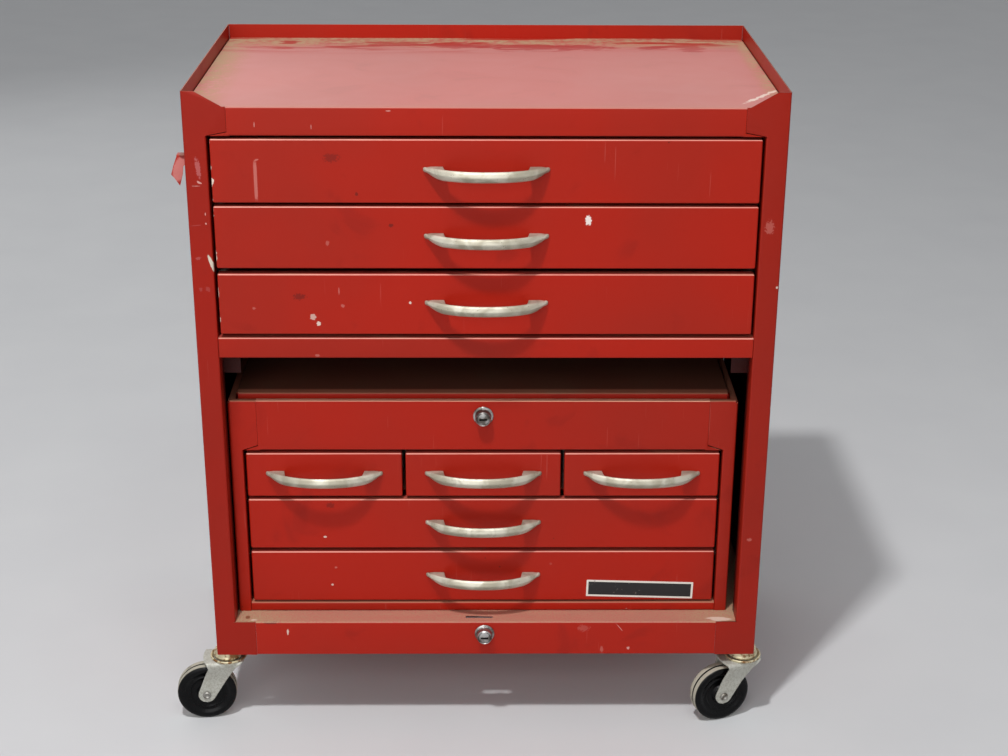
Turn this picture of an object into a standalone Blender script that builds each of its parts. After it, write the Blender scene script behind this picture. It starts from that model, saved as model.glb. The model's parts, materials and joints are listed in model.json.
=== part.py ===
"""Rolling tool box: a sheet-metal roller cabinet with a separate tool chest in its open compartment.

Metres, +Z up. Every sub-assembly hangs from an empty. The cabinet's own frame has x = 0 in its middle,
y = 0 on its front plane, with +Y towards the back, and z = 0 at the lower edge of its body.
"""

import cmath
import math

import bmesh
import bpy
from mathutils import Matrix, Vector

# Sheet metal and fits
SHEET = 0.0012
HEAVY_SHEET = 0.002
SEAT_GAP = 0.0003
BEND_RADIUS = 0.002
BEND_STEPS = 2
OVERRUN = 0.002
LAP = 0.003

# Cabinet body
CABINET_WIDTH = 0.660
CABINET_DEPTH = 0.380
CABINET_HEIGHT = 0.700
RIM_HEIGHT = 0.017
RIM_FLAT = 0.0145
RIM_SLOPE = 0.0295
POST_WIDTH = 0.025
POST_RETURN = 0.030
HEADER_HEIGHT = 0.032
HEADER_EAR = 0.0475
EAR_NOTCH = 0.0045
SILL_HEIGHT = 0.0454
SILL_EAR = 0.049
SIDE_FLANGE = 0.018
FOLDED_LIP = 0.018

# Middle rail with its shelf, and the tabs that hang behind the posts
RAIL_SHARE = 0.5943
RAIL_HEIGHT = 0.0245
TAB_REACH = 0.043
TAB_DROP = 0.030

# Hooked bracket on the outside of the left side
BRACKET_FRONT = 0.012
BRACKET_LENGTH = 0.028
BRACKET_DROP = 0.0735
BRACKET_HEIGHT = 0.034
BRACKET_REACH = 0.0164
BRACKET_FLANGE = 0.010
BRACKET_SHARES = ((0.0, 0.0), (0.55, 0.0), (0.81, 0.32), (1.0, 0.63), (0.79, 0.75), (0.45, 1.0),
                  (0.22, 0.62), (0.16, 0.37), (0.0, 0.28))

# Wide cabinet drawers, listed from the top
CABINET_DRAWERS = ("top", "middle", "bottom")
CABINET_DRAWER_GAPS = (0.0036, 0.0041, 0.0067)
CABINET_BOTTOM_GAP = 0.0046
CABINET_REAR_ROOM = 0.040
DRAWER_SIDE_GAP = 0.0032
FRONT_PAN_DEPTH = 0.013
FRONT_EDGE_RADIUS = 0.0020
BOX_TOP_DROP = 0.009
BOX_BOTTOM_RISE = 0.003
BOX_INSET = 0.009
FLANGE_REACH = 0.0075

# Runner panels
RUNNER_START = 0.0315
RUNNER_END_GAP = 0.009
RUNNER_STANDOFF = 0.0185
RUNNER_LIP_GAP = 0.001
CHEST_RUNNER_START = 0.0135
CHEST_RUNNER_STANDOFF = 0.008

# Tool chest
CHEST_SIDE_ROOM = 0.030
CHEST_SETBACK = 0.028
CHEST_REAR_ROOM = 0.047
CHEST_HEADROOM = 0.0651
CHEST_SHIFT = -0.0036
CHEST_POST = 0.015
CHEST_RETURN = 0.012
CHEST_HEADER_HEIGHT = 0.0635
CHEST_EAR = 0.033
CHEST_NOTCH = 0.0064
CHEST_RAIL_HEIGHT = 0.0116
LEDGE_WIDTH = 0.0085
LEDGE_LIP = 0.007
SHELF_LIP = 0.010
SMALL_DRAWERS = ("left", "centre", "right")
SMALL_DRAWER_SPACING = 0.0042
SMALL_DRAWER_TOP_GAP = 0.0045
WIDE_DRAWERS = ("upper", "lower")
WIDE_DRAWER_GAPS = (0.0042, 0.0050)
CHEST_BOTTOM_GAP = 0.0027
CHEST_DRAWER_SHARES = (0.298, 0.346, 0.356)
CHEST_DRAWER_SIDE_GAP = 0.0032
CHEST_DRAWER_REAR_ROOM = 0.025
SMALL_BOX_INSET = 0.006
DIVIDER_WIDTH = 0.006

# Lid and its hinge
LID_GAP = 0.0008
LID_PROUD = 0.006
LID_SKIRT = 0.014
LID_FLANGE = 0.012
HINGE_RADIUS = 0.0032
HINGE_BORE = 0.0018
HINGE_PIN = 0.0015
HINGE_INSET = 0.0036
HINGE_STEM = 0.0010
KNUCKLES = 5
KNUCKLE_GAP = 0.0006
CATCH_SLOT = 0.044

# Cam locks, seated in the chest header and in the sill
LOCK_FACE = 0.012
LOCK_PROUD = 0.0042
LOCK_EDGE = 0.0014
LOCK_DISH = 0.0085
LOCK_BARREL = 0.0092
LOCK_PLUG = 0.0070
LOCK_BARREL_LENGTH = 0.0105
LOCK_NUT = 0.0120
LOCK_NUT_HEIGHT = 0.0035
KEY_SLOT_LENGTH = 0.0086
KEY_SLOT_WIDTH = 0.0018
KEY_SLOT_DEPTH = 0.0060
CAM_WIDTH = 0.010
CAM_THICKNESS = 0.002
SILL_CAM_LENGTH = 0.025
CHEST_CAM_LENGTH = 0.019
CHEST_LOCK_DROP = 0.0192
SILL_LOCK_DROP = 0.0157
SILL_LOCK_X = -0.0019
SILL_SLOT_RIGHT = 0.010
SILL_SLOT_LENGTH = 0.033
CAM_SLOT_MARGIN = 0.0016

# Cast arch pulls
PULL_LENGTH = 0.139
PULL_PROJECTION = 0.028
PULL_BAR_HEIGHT = 0.0098
PULL_BAR_THICKNESS = 0.0064
PULL_FOOT_HEIGHT = 0.0158
PULL_FOOT_LENGTH = 0.024
PULL_TIP_HEIGHT = 0.0044
PULL_TIP_THICKNESS = 0.0022
PULL_STEP_SHARE = 0.17
PULL_BOW_POWER = 2.3
PULL_BOW_EASE = 0.85
PULL_FLARE_POWER = 5
PULL_TAPER_POWER = 1.7
PULL_STATIONS = 16
PULL_STATION_EASE = 0.8
PULL_SECTION_SHARES = ((1.0, -1.0), (1.0, 0.0), (0.62, 0.72), (0.0, 1.0), (-0.62, 0.72), (-1.0, 0.0),
                       (-1.0, -1.0))

# Casters
CASTER_SIDE_INSET = 0.011
CASTER_END_INSET = 0.021
CASTER_ANGLE_WIDTH = 0.036
TRAIL = 0.029
WHEEL_RADIUS = 0.0365
WHEEL_WIDTH = 0.020
HUB_WIDTH = 0.0206
HUB_RADIUS = 0.0115
WEB_RADIUS = 0.0265
WEB_WIDTH = 0.013
TREAD_SHOULDER = 0.0025
GROOVE_WIDTH = 0.0022
GROOVE_DEPTH = 0.0016
AXLE_RADIUS = 0.0035
AXLE_HEAD = 0.0052
AXLE_HEAD_HEIGHT = 0.0018
AXLE_DROP = 0.060
FORK_PLATE = 0.0025
FORK_TOP_HALF_WIDTH = 0.0210
FORK_FOOT_HALF_WIDTH = 0.0145
FORK_KNEE_DROP = 0.038
FORK_BEND = 0.005
FORK_FOOT_RADIUS = 0.0105
FORK_TOP_BACK = 0.0270
FORK_TOP_FRONT = 0.0155
RACE_RADIUS = 0.0185
RACE_RIM = 0.0026
RACE_HEIGHT = 0.0086
RACE_LIP = 0.0020
STEM_RADIUS = 0.0050
STEM_LENGTH = 0.014
KINGPIN_RADIUS = 0.0040
KINGPIN_HEAD = 0.0070
KINGPIN_HEAD_HEIGHT = 0.0020
STEM_NUT = 0.0150
STEM_NUT_HEIGHT = 0.0060
CASTERS = (("front_left", -1, 0, 6.0), ("front_right", 1, 0, 18.0),
           ("rear_left", -1, 1, 14.0), ("rear_right", 1, 1, 16.0))

# Round pieces
WHEEL_STEPS = 20
ROUND_STEPS = 16
SMALL_STEPS = 10
SHARP_ANGLE = math.radians(35)
FOOT_STEPS = 5

# Outlines are filled enlarged by this power of two, so that their points come back unchanged
DRAWING_SCALE = 1024

# Colours as linear RGB, with roughness and metallic
PAINT = (0.36, 0.024, 0.016), 0.38, 0.0
CAST_METAL = (0.52, 0.49, 0.42), 0.36, 1.0
ZINC = (0.55, 0.54, 0.50), 0.34, 1.0
BRASS_ZINC = (0.60, 0.52, 0.33), 0.34, 1.0
CHROME = (0.62, 0.62, 0.60), 0.22, 1.0
HARD_RUBBER = (0.015, 0.015, 0.016), 0.55, 0.0

# What follows from the sizes
HALF_WIDTH = CABINET_WIDTH / 2
INNER_HALF = HALF_WIDTH - SHEET - SEAT_GAP
INNER_BACK = CABINET_DEPTH - SHEET - SEAT_GAP
OPENING_HALF = HALF_WIDTH - POST_WIDTH
DECK_Z = CABINET_HEIGHT - RIM_HEIGHT
HEADER_BOTTOM = DECK_Z - HEADER_HEIGHT
RAIL_TOP = CABINET_HEIGHT * RAIL_SHARE
RAIL_BOTTOM = RAIL_TOP - RAIL_HEIGHT
CABINET_DRAWER_ROOM = HEADER_BOTTOM - RAIL_TOP - sum(CABINET_DRAWER_GAPS) - CABINET_BOTTOM_GAP
CABINET_DRAWER_HEIGHT = CABINET_DRAWER_ROOM / len(CABINET_DRAWERS)
CABINET_DRAWER_DEPTH = CABINET_DEPTH - CABINET_REAR_ROOM
BRACKET_TOP = CABINET_HEIGHT - BRACKET_DROP
BETWEEN_POSTS = OPENING_HALF - SEAT_GAP
FLOOR_DROP = AXLE_DROP + WHEEL_RADIUS
CASTER_X = HALF_WIDTH - CASTER_SIDE_INSET

CHEST_HALF = HALF_WIDTH - CHEST_SIDE_ROOM
CHEST_DEPTH = CABINET_DEPTH - CHEST_SETBACK - CHEST_REAR_ROOM
CHEST_HEIGHT = RAIL_BOTTOM - SILL_HEIGHT - CHEST_HEADROOM
CHEST_DRAWER_DEPTH = CHEST_DEPTH - CHEST_DRAWER_REAR_ROOM
CHEST_INNER_HALF = CHEST_HALF - SHEET - SEAT_GAP
CHEST_INNER_BACK = CHEST_DEPTH - SHEET - SEAT_GAP
CHEST_OPENING_HALF = CHEST_HALF - CHEST_POST
CHEST_HEADER_BOTTOM = CHEST_HEIGHT - CHEST_HEADER_HEIGHT
CHEST_BETWEEN_POSTS = CHEST_OPENING_HALF - SEAT_GAP
TILL_FLOOR = CHEST_HEADER_BOTTOM + SHEET + SEAT_GAP
CHEST_GAPS = SMALL_DRAWER_TOP_GAP + sum(WIDE_DRAWER_GAPS) + CHEST_BOTTOM_GAP
CHEST_DRAWER_ROOM = CHEST_HEADER_BOTTOM - CHEST_RAIL_HEIGHT - CHEST_GAPS
SMALL_DRAWER_HEIGHT, *WIDE_DRAWER_HEIGHTS = [share * CHEST_DRAWER_ROOM for share in CHEST_DRAWER_SHARES]
SMALL_TOP = CHEST_HEADER_BOTTOM - SMALL_DRAWER_TOP_GAP
SMALL_BOTTOM = SMALL_TOP - SMALL_DRAWER_HEIGHT
MID_SHELF_TOP = SMALL_BOTTOM + BOX_BOTTOM_RISE - SEAT_GAP
LID_TOP = CHEST_HEIGHT + LID_PROUD
LOCK_CAM_FRONT = LOCK_BARREL_LENGTH + SHEET + SEAT_GAP

# The box is centred on its own outline, whose left side reaches the trailing wheel
LEFT_REACH = CASTER_X + TRAIL + WHEEL_RADIUS
RIGHT_REACH = CASTER_X + FORK_TOP_HALF_WIDTH
BACK_REACH = CABINET_DEPTH - CASTER_END_INSET + FORK_TOP_HALF_WIDTH
FRONT_REACH = PULL_PROJECTION + SEAT_GAP

FRAMES = {"X": (Vector((0, 1, 0)), Vector((0, 0, 1)), Vector((1, 0, 0))),
          "Y": (Vector((1, 0, 0)), Vector((0, 0, 1)), Vector((0, -1, 0))),
          "Z": (Vector((1, 0, 0)), Vector((0, 1, 0)), Vector((0, 0, 1)))}


def clear_scene():
    """Removes every object that the file holds."""
    for item in list(bpy.data.objects):
        bpy.data.objects.remove(item, do_unlink=True)


def new_collection(name):
    """Makes a collection in the scene."""
    made = bpy.data.collections.new(name)
    bpy.context.scene.collection.children.link(made)
    return made


def new_material(name, look):
    """A Principled material from a colour, a roughness and a metallic value."""
    colour, roughness, metallic = look
    made = bpy.data.materials.new(name)
    made.use_nodes = True
    shader = made.node_tree.nodes["Principled BSDF"]
    shader.inputs["Base Color"].default_value = (*colour, 1.0)
    shader.inputs["Roughness"].default_value = roughness
    shader.inputs["Metallic"].default_value = metallic
    made.diffuse_color = (*colour, 1.0)
    return made


def new_empty(name, parent=None, at=(0, 0, 0), turn=0.0):
    """An empty that carries a sub-assembly, turned about its vertical axis."""
    made = bpy.data.objects.new(name, None)
    made.location = at
    made.rotation_euler = (0, 0, turn)
    made.parent = parent
    PARTS.objects.link(made)
    return made


def object_of(bm, name="blank"):
    """Puts a bmesh into a new object that no collection holds yet."""
    mesh = bpy.data.meshes.new(name)
    bm.to_mesh(mesh)
    bm.free()
    return bpy.data.objects.new(name, mesh)


def span(low, high):
    """A low and a high corner in order, whichever way round they were given."""
    return [min(a, b) for a, b in zip(low, high)], [max(a, b) for a, b in zip(low, high)]


def block(low, high):
    """A bmesh block whose corners lie exactly on the given coordinates."""
    low, high = span(low, high)
    bm = bmesh.new()
    bmesh.ops.create_cube(bm, size=1.0)
    for vert in bm.verts:
        vert.co = [b if c > 0 else a for a, b, c in zip(low, high, vert.co)]
    return bm


def box(low, high):
    """A block between two corners."""
    return object_of(block(low, high))


def pan(low, high, open_side, radius=0.0):
    """Sheet folded up into a pan, outer faces between two corners, with one side left open."""
    bm = block(low, high)
    bm.normal_update()
    missing = [face for face in bm.faces if face.normal.dot(open_side) > 0.5]
    bmesh.ops.delete(bm, geom=missing, context="FACES")
    folds = [edge for edge in bm.edges if not edge.is_boundary]
    if radius > 0:
        bmesh.ops.bevel(bm, geom=folds, offset=radius, segments=2, profile=0.5, affect="EDGES")
    made = object_of(bm)
    wall = made.modifiers.new("wall", "SOLIDIFY")
    wall.thickness = SHEET
    wall.offset = -1
    wall.use_even_offset = True
    return made


def rod(radius, low, high, axis, at=(0.0, 0.0), sides=ROUND_STEPS, turn=0.0):
    """A cylinder, or with few sides a bar, along an axis; `at` is its centre in that axis's plane."""
    u, v, w = FRAMES[axis]
    if axis == "Y":
        low, high = -high, -low
    bm = bmesh.new()
    bmesh.ops.create_cone(bm, cap_ends=True, segments=sides, radius1=radius, radius2=radius, depth=high - low)
    place = Matrix((u, v, w)).transposed().to_4x4()
    place.translation = u * at[0] + v * at[1] + w * (low + high) / 2
    bm.transform(place @ Matrix.Rotation(turn, 4, "Z"))
    return object_of(bm)


def offset(path, distance):
    """The path moved to its left, with its corners mitred; points are complex numbers."""
    moved = []
    for index, point in enumerate(path):
        before = path[max(index - 1, 0)]
        after = path[min(index + 1, len(path) - 1)]
        into = (point - before) / abs(point - before) if index else None
        out = (after - point) / abs(after - point) if index < len(path) - 1 else into
        into = into or out
        left = 1j * (into + out) / (1 + (into * out.conjugate()).real)
        moved.append(point + left * distance)
    return moved


def rounded(path, radius):
    """The path with an arc at each inner corner; `radius` gives the arc's radius from the turn's angle."""
    points = [path[0]]
    for before, corner, after in zip(path, path[1:], path[2:]):
        into = (corner - before) / abs(corner - before)
        out = (after - corner) / abs(after - corner)
        turn = cmath.phase(out / into)
        arc = radius(turn)
        start = corner - into * arc * math.tan(abs(turn) / 2)
        side = 1 if turn > 0 else -1
        centre = start + side * 1j * into * arc
        for step in range(BEND_STEPS + 1):
            points.append(centre + (start - centre) * cmath.rect(1, turn * step / BEND_STEPS))
    points.append(path[-1])
    return points


def fold(path, low, high, axis, thickness=SHEET, bend=BEND_RADIUS):
    """Folded sheet: a path of outer faces, with the metal on its left, drawn out along an axis."""
    outer = [complex(*point) for point in path]
    inner = offset(outer, thickness)
    outer = rounded(outer, lambda turn: bend)
    inner = rounded(inner, lambda turn: bend - thickness if turn > 0 else bend + thickness)
    return prism([(point.real, point.imag) for point in outer + inner[::-1]], low, high, axis)


def prism(outline, low, high, axis):
    """A flat outline as a 2D curve, drawn out between two places along an axis."""
    u, v, w = FRAMES[axis]
    if axis == "Y":
        low, high = -high, -low
    curve = bpy.data.curves.new("outline", "CURVE")
    curve.dimensions = "2D"
    curve.fill_mode = "BOTH"
    curve.extrude = (high - low) / 2
    spline = curve.splines.new("POLY")
    spline.points.add(len(outline) - 1)
    for point, (a, b) in zip(spline.points, outline):
        point.co = (a * DRAWING_SCALE, b * DRAWING_SCALE, 0, 1)
    spline.use_cyclic_u = True
    source = bpy.data.objects.new("outline", curve)
    bm = bmesh.new()
    bm.from_mesh(bpy.data.meshes.new_from_object(source))
    bpy.data.objects.remove(source)
    bmesh.ops.remove_doubles(bm, verts=bm.verts, dist=SEAT_GAP)
    bm.normal_update()
    bmesh.ops.recalc_face_normals(bm, faces=bm.faces)
    for vert in bm.verts:
        flat = vert.co / DRAWING_SCALE
        vert.co = u * flat.x + v * flat.y + w * (high if flat.z > 0 else low)
    return object_of(bm)


def turned(profile, steps, closed):
    """A profile of radius and height, outer side from top to bottom, turned about the Z axis."""
    bm = bmesh.new()
    line = [bm.verts.new((radius, 0, height)) for radius, height in profile]
    pairs = list(zip(line, line[1:]))
    if closed:
        pairs.append((line[-1], line[0]))
    for pair in pairs:
        bm.edges.new(pair)
    made = object_of(bm)
    screw = made.modifiers.new("turn", "SCREW")
    screw.steps = steps
    screw.render_steps = steps
    screw.use_merge_vertices = True
    screw.merge_threshold = SEAT_GAP / 30
    return made


def mirrored(blank):
    """The same blank on the other side of the x = 0 plane."""
    bm = bmesh.new()
    bm.from_mesh(blank.data)
    bmesh.ops.scale(bm, vec=(-1, 1, 1), verts=bm.verts)
    bmesh.ops.reverse_faces(bm, faces=bm.faces[:])
    bm.to_mesh(blank.data)
    bm.free()
    return blank


def sided(side, blanks):
    """Blanks that were drawn for the left side, on the side that is asked for."""
    return [mirrored(blank) if side > 0 else blank for blank in blanks]


def part(name, blanks, parent, look, cuts=(), within=()):
    """Names a piece, trims it to what lies within a shape, joins its further blanks and cuts its holes."""
    made = blanks[0]
    made.name = name
    made.data.name = name
    made.parent = parent
    made.data.materials.clear()
    made.data.materials.append(new_material(name + "_finish", look))
    PARTS.objects.link(made)
    steps = [(shape, "INTERSECT") for shape in within]
    steps += [(blank, "UNION") for blank in blanks[1:]]
    steps += [(cut, "DIFFERENCE") for cut in cuts]
    for tool, operation in steps:
        tool.name = name + "_tool"
        tool.parent = parent
        tool.hide_render = True
        tool.display_type = "WIRE"
        TOOLS.objects.link(tool)
        boolean = made.modifiers.new(operation.lower(), "BOOLEAN")
        boolean.operation = operation
        boolean.object = tool
    return made


def smooth(item):
    """Smooth shading for turned and cast pieces."""
    item.data.shade_smooth()
    item.data.set_sharp_from_angle(angle=SHARP_ANGLE)


def side_blanks(half, depth, height, post, back, flat_top, ear, header_bottom, notch, foot):
    """Left side sheet: wall, front post with its return, and the ear that meets the header.

    `flat_top` is where the post's top edge starts to slope, `ear` the points of the slope's foot and the
    ear's inner edge, and `foot` the height from which the return runs up.
    """
    inner = half - post
    blanks = [fold([(-half, depth), (-half, 0), (-flat_top, 0)], 0, height, "Z"),
              fold([(-flat_top - LAP, 0), (-inner, 0), (-inner, back)], foot, header_bottom, "Z"),
              prism([(-flat_top - LAP, header_bottom - LAP), (-inner - LAP, header_bottom - LAP),
                     (-inner, header_bottom + SEAT_GAP), (-ear[1][0], header_bottom + notch + SEAT_GAP),
                     (-ear[1][0], ear[1][1]), (-ear[0][0], ear[0][1]),
                     (-flat_top, height), (-flat_top - LAP, height)], 0, SHEET, "Y")]
    return blanks


def build_cabinet_sides(root):
    """Side sheets with the front posts, the ears at header and sill, and the rims over the deck."""
    flat_top = HALF_WIDTH - RIM_FLAT
    ear_x = HALF_WIDTH - HEADER_EAR
    slope_x = flat_top - RIM_SLOPE
    for side, word in ((-1, "left"), (1, "right")):
        blanks = side_blanks(HALF_WIDTH, CABINET_DEPTH, CABINET_HEIGHT, POST_WIDTH, POST_RETURN, flat_top,
                             ((slope_x, DECK_Z), (ear_x, DECK_Z)), HEADER_BOTTOM, EAR_NOTCH,
                             SILL_HEIGHT + SEAT_GAP)
        blanks += [box((-flat_top - LAP, 0, 0), (-HALF_WIDTH + SILL_EAR, SHEET, SILL_HEIGHT)),
                   box((-flat_top - LAP, 0, SILL_HEIGHT - LAP),
                       (-OPENING_HALF - LAP, SHEET, SILL_HEIGHT + LAP))]
        part("cabinet_" + word + "_side", sided(side, blanks), root, PAINT)


def build_cabinet_shell(root):
    """Back sheet, sunk deck with the header, shelf with the middle rail, and base with the sill."""
    back = box((-INNER_HALF, CABINET_DEPTH - SHEET, 0), (INNER_HALF, CABINET_DEPTH, CABINET_HEIGHT))
    part("cabinet_back", [back], root, PAINT)

    ear_x = HALF_WIDTH - HEADER_EAR - SEAT_GAP
    front_edge = BEND_RADIUS + SHEET / 2
    header = fold([(INNER_BACK, DECK_Z - FOLDED_LIP), (INNER_BACK, DECK_Z), (0, DECK_Z),
                   (0, HEADER_BOTTOM), (FOLDED_LIP, HEADER_BOTTOM)], -ear_x, ear_x, "X")
    deck = fold([(INNER_HALF, DECK_Z - SIDE_FLANGE), (INNER_HALF, DECK_Z), (-INNER_HALF, DECK_Z),
                 (-INNER_HALF, DECK_Z - SIDE_FLANGE)], front_edge, INNER_BACK - SEAT_GAP, "Y")
    wings = [prism([(side * (ear_x - LAP), HEADER_BOTTOM), (side * (OPENING_HALF - LAP), HEADER_BOTTOM),
                    (side * (ear_x - LAP), HEADER_BOTTOM + EAR_NOTCH)], 0, SHEET, "Y") for side in (-1, 1)]
    part("cabinet_deck", [header, deck] + wings, root, PAINT)

    rail = fold([(INNER_BACK, RAIL_TOP - FOLDED_LIP), (INNER_BACK, RAIL_TOP), (0, RAIL_TOP),
                 (0, RAIL_BOTTOM), (FOLDED_LIP, RAIL_BOTTOM)], -BETWEEN_POSTS, BETWEEN_POSTS, "X")
    behind_posts = POST_RETURN + SEAT_GAP
    shelf = fold([(INNER_HALF, RAIL_TOP - SIDE_FLANGE), (INNER_HALF, RAIL_TOP), (-INNER_HALF, RAIL_TOP),
                  (-INNER_HALF, RAIL_TOP - SIDE_FLANGE)], behind_posts, INNER_BACK - SEAT_GAP, "Y")
    tabs = [box((side * INNER_HALF, behind_posts, RAIL_TOP - SHEET / 2),
                (side * (INNER_HALF - TAB_REACH), behind_posts + SHEET, RAIL_BOTTOM - TAB_DROP))
            for side in (-1, 1)]
    part("cabinet_shelf", [rail, shelf] + tabs, root, PAINT)


def sill_slot():
    """The slot in the sill's top, over the lock, that a lift-out cover's staple drops through."""
    right = SILL_LOCK_X + SILL_SLOT_RIGHT
    return box((right - SILL_SLOT_LENGTH, LOCK_CAM_FRONT - CAM_SLOT_MARGIN, SILL_HEIGHT - SHEET - OVERRUN),
               (right, LOCK_CAM_FRONT + CAM_THICKNESS + CAM_SLOT_MARGIN, SILL_HEIGHT + OVERRUN))


def build_cabinet_base(root):
    """Compartment floor with the sill, and the two angles that carry the casters."""
    ear_x = HALF_WIDTH - SILL_EAR - SEAT_GAP
    sill = fold([(INNER_BACK - FOLDED_LIP, 0), (INNER_BACK, 0), (INNER_BACK, SILL_HEIGHT), (0, SILL_HEIGHT),
                 (0, 0), (FOLDED_LIP, 0)], -ear_x, ear_x, "X")
    floor = fold([(INNER_HALF, SILL_HEIGHT - SIDE_FLANGE), (INNER_HALF, SILL_HEIGHT),
                  (-INNER_HALF, SILL_HEIGHT), (-INNER_HALF, SILL_HEIGHT - SIDE_FLANGE)],
                 BEND_RADIUS + SHEET / 2, INNER_BACK - SEAT_GAP, "Y")
    lock_hole = rod(LOCK_BARREL + SEAT_GAP, -OVERRUN, SHEET + OVERRUN, "Y",
                    (SILL_LOCK_X, SILL_HEIGHT - SILL_LOCK_DROP))
    part("cabinet_base", [sill, floor], root, PAINT, [lock_hole, sill_slot()])

    for side, word in ((-1, "left"), (1, "right")):
        outer = INNER_HALF - SHEET - SEAT_GAP
        angle = fold([(-outer, 0), (-outer + CASTER_ANGLE_WIDTH, 0),
                      (-outer + CASTER_ANGLE_WIDTH, SILL_HEIGHT - SHEET - SEAT_GAP)],
                     SHEET + SEAT_GAP, INNER_BACK, "Y", HEAVY_SHEET)
        holes = [rod(STEM_RADIUS + SEAT_GAP, -OVERRUN, HEAVY_SHEET + OVERRUN, "Z", (-CASTER_X, y),
                     SMALL_STEPS) for y in (CASTER_END_INSET, CABINET_DEPTH - CASTER_END_INSET)]
        part("caster_angle_" + word, sided(side, [angle]), root, PAINT, sided(side, holes))


def build_bracket(root):
    """The bracket on the left side: a leaf on the sheet, a top flange and a hook that faces the front."""
    outside = -HALF_WIDTH - SEAT_GAP
    low = BRACKET_TOP - BRACKET_HEIGHT
    leaf = box((outside, BRACKET_FRONT, low), (outside - SHEET, BRACKET_FRONT + BRACKET_LENGTH, BRACKET_TOP))
    root_x = outside - SHEET / 2
    root_z = BRACKET_TOP - SHEET / 2
    hook = prism([(root_x - across * BRACKET_REACH, root_z - down * BRACKET_HEIGHT)
                  for across, down in BRACKET_SHARES],
                 BRACKET_FRONT - SHEET / 2, BRACKET_FRONT + SHEET / 2, "Y")
    flange = box((outside - SHEET / 2, BRACKET_FRONT, BRACKET_TOP - SHEET),
                 (outside - BRACKET_FLANGE, BRACKET_FRONT + BRACKET_FLANGE, BRACKET_TOP + SHEET / 4))
    part("cabinet_side_bracket", [leaf, hook, flange], root, PAINT)


def runner_blanks(web, wall, tip, start, end, tops, low, high):
    """Left runner panel: a web with a channel for each drawer, and end flanges that reach the wall.

    `web`, `wall` and `tip` are half widths, `tops` the heights of the drawers' flanges.
    """
    inside = -web + SHEET / 2
    blanks = [box((-web, start, low), (-web + SHEET, end, high))]
    for top in tops:
        for height in (top - SHEET - SEAT_GAP - SHEET, top + RUNNER_LIP_GAP):
            blanks.append(box((inside, start + LAP, height), (-tip, end - LAP, height + SHEET)))
    return blanks + [box((-wall, y, low), (inside, y + SHEET, high)) for y in (start, end - SHEET)]


def drawer(name, parent, width, height, depth, inset, flange):
    """A drawer: hollow front pan, open box behind it and, on wide drawers, a flange down each side.

    The frame's origin is the front's lower edge in the middle.
    """
    half = width / 2
    front = pan((-half, 0, 0), (half, FRONT_PAN_DEPTH, height), Vector((0, 1, 0)), FRONT_EDGE_RADIUS)
    side = half - inset
    top = height - BOX_TOP_DROP
    tray = pan((-side, SHEET / 2, BOX_BOTTOM_RISE), (side, depth, top + SHEET / 2), Vector((0, 0, 1)))
    blanks = [front, tray]
    if flange:
        blanks += [box((hand * (side - SHEET / 2), FRONT_PAN_DEPTH + LAP, top - SHEET),
                       (hand * (side + FLANGE_REACH), depth - LAP, top)) for hand in (-1, 1)]
    return part(name, blanks, parent, PAINT)


def pull_section(share):
    """Half height, front and back of the pull at a share of its half length, 0 in the middle, 1 at a tip."""
    bow = max(0.0, 1 - share ** PULL_BOW_POWER) ** PULL_BOW_EASE
    front = PULL_TIP_THICKNESS + (PULL_PROJECTION - PULL_TIP_THICKNESS) * bow
    foot_start = 1 - 2 * PULL_FOOT_LENGTH / PULL_LENGTH
    toward_tip = max(0.0, (share - foot_start) / (1 - foot_start))
    flare = min(1.0, share / foot_start) ** PULL_FLARE_POWER
    half = PULL_BAR_HEIGHT / 2 + (PULL_FOOT_HEIGHT - PULL_BAR_HEIGHT) / 2 * flare
    half -= (PULL_FOOT_HEIGHT - PULL_TIP_HEIGHT) / 2 * toward_tip ** PULL_TAPER_POWER
    seated = min(1.0, toward_tip / PULL_STEP_SHARE)
    rear = (front - PULL_BAR_THICKNESS) * (1 - seated)
    return half, front, max(0.0, rear)


def build_pull(name, parent, height):
    """Cast arch pull on a drawer's front: a bowed bar whose ends flare into pointed feet."""
    bm = bmesh.new()
    rings = []
    for station in range(PULL_STATIONS + 1):
        share = 2 * station / PULL_STATIONS - 1
        share = math.copysign(abs(share) ** PULL_STATION_EASE, share)
        half, front, rear = pull_section(abs(share))
        middle = (front + rear) / 2
        depth = (front - rear) / 2
        ring = []
        for across, out in PULL_SECTION_SHARES:
            place = (share * PULL_LENGTH / 2, -SEAT_GAP - middle - out * depth, height + across * half)
            ring.append(bm.verts.new(place))
        rings.append(ring)
    for one, two in zip(rings, rings[1:]):
        for this, after in zip(range(len(one)), list(range(1, len(one))) + [0]):
            bm.faces.new((one[this], one[after], two[after], two[this]))
    bm.faces.new(rings[0])
    bm.faces.new(reversed(rings[-1]))
    bm.normal_update()
    bmesh.ops.recalc_face_normals(bm, faces=bm.faces)
    smooth(part(name, [object_of(bm)], parent, CAST_METAL))


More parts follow.
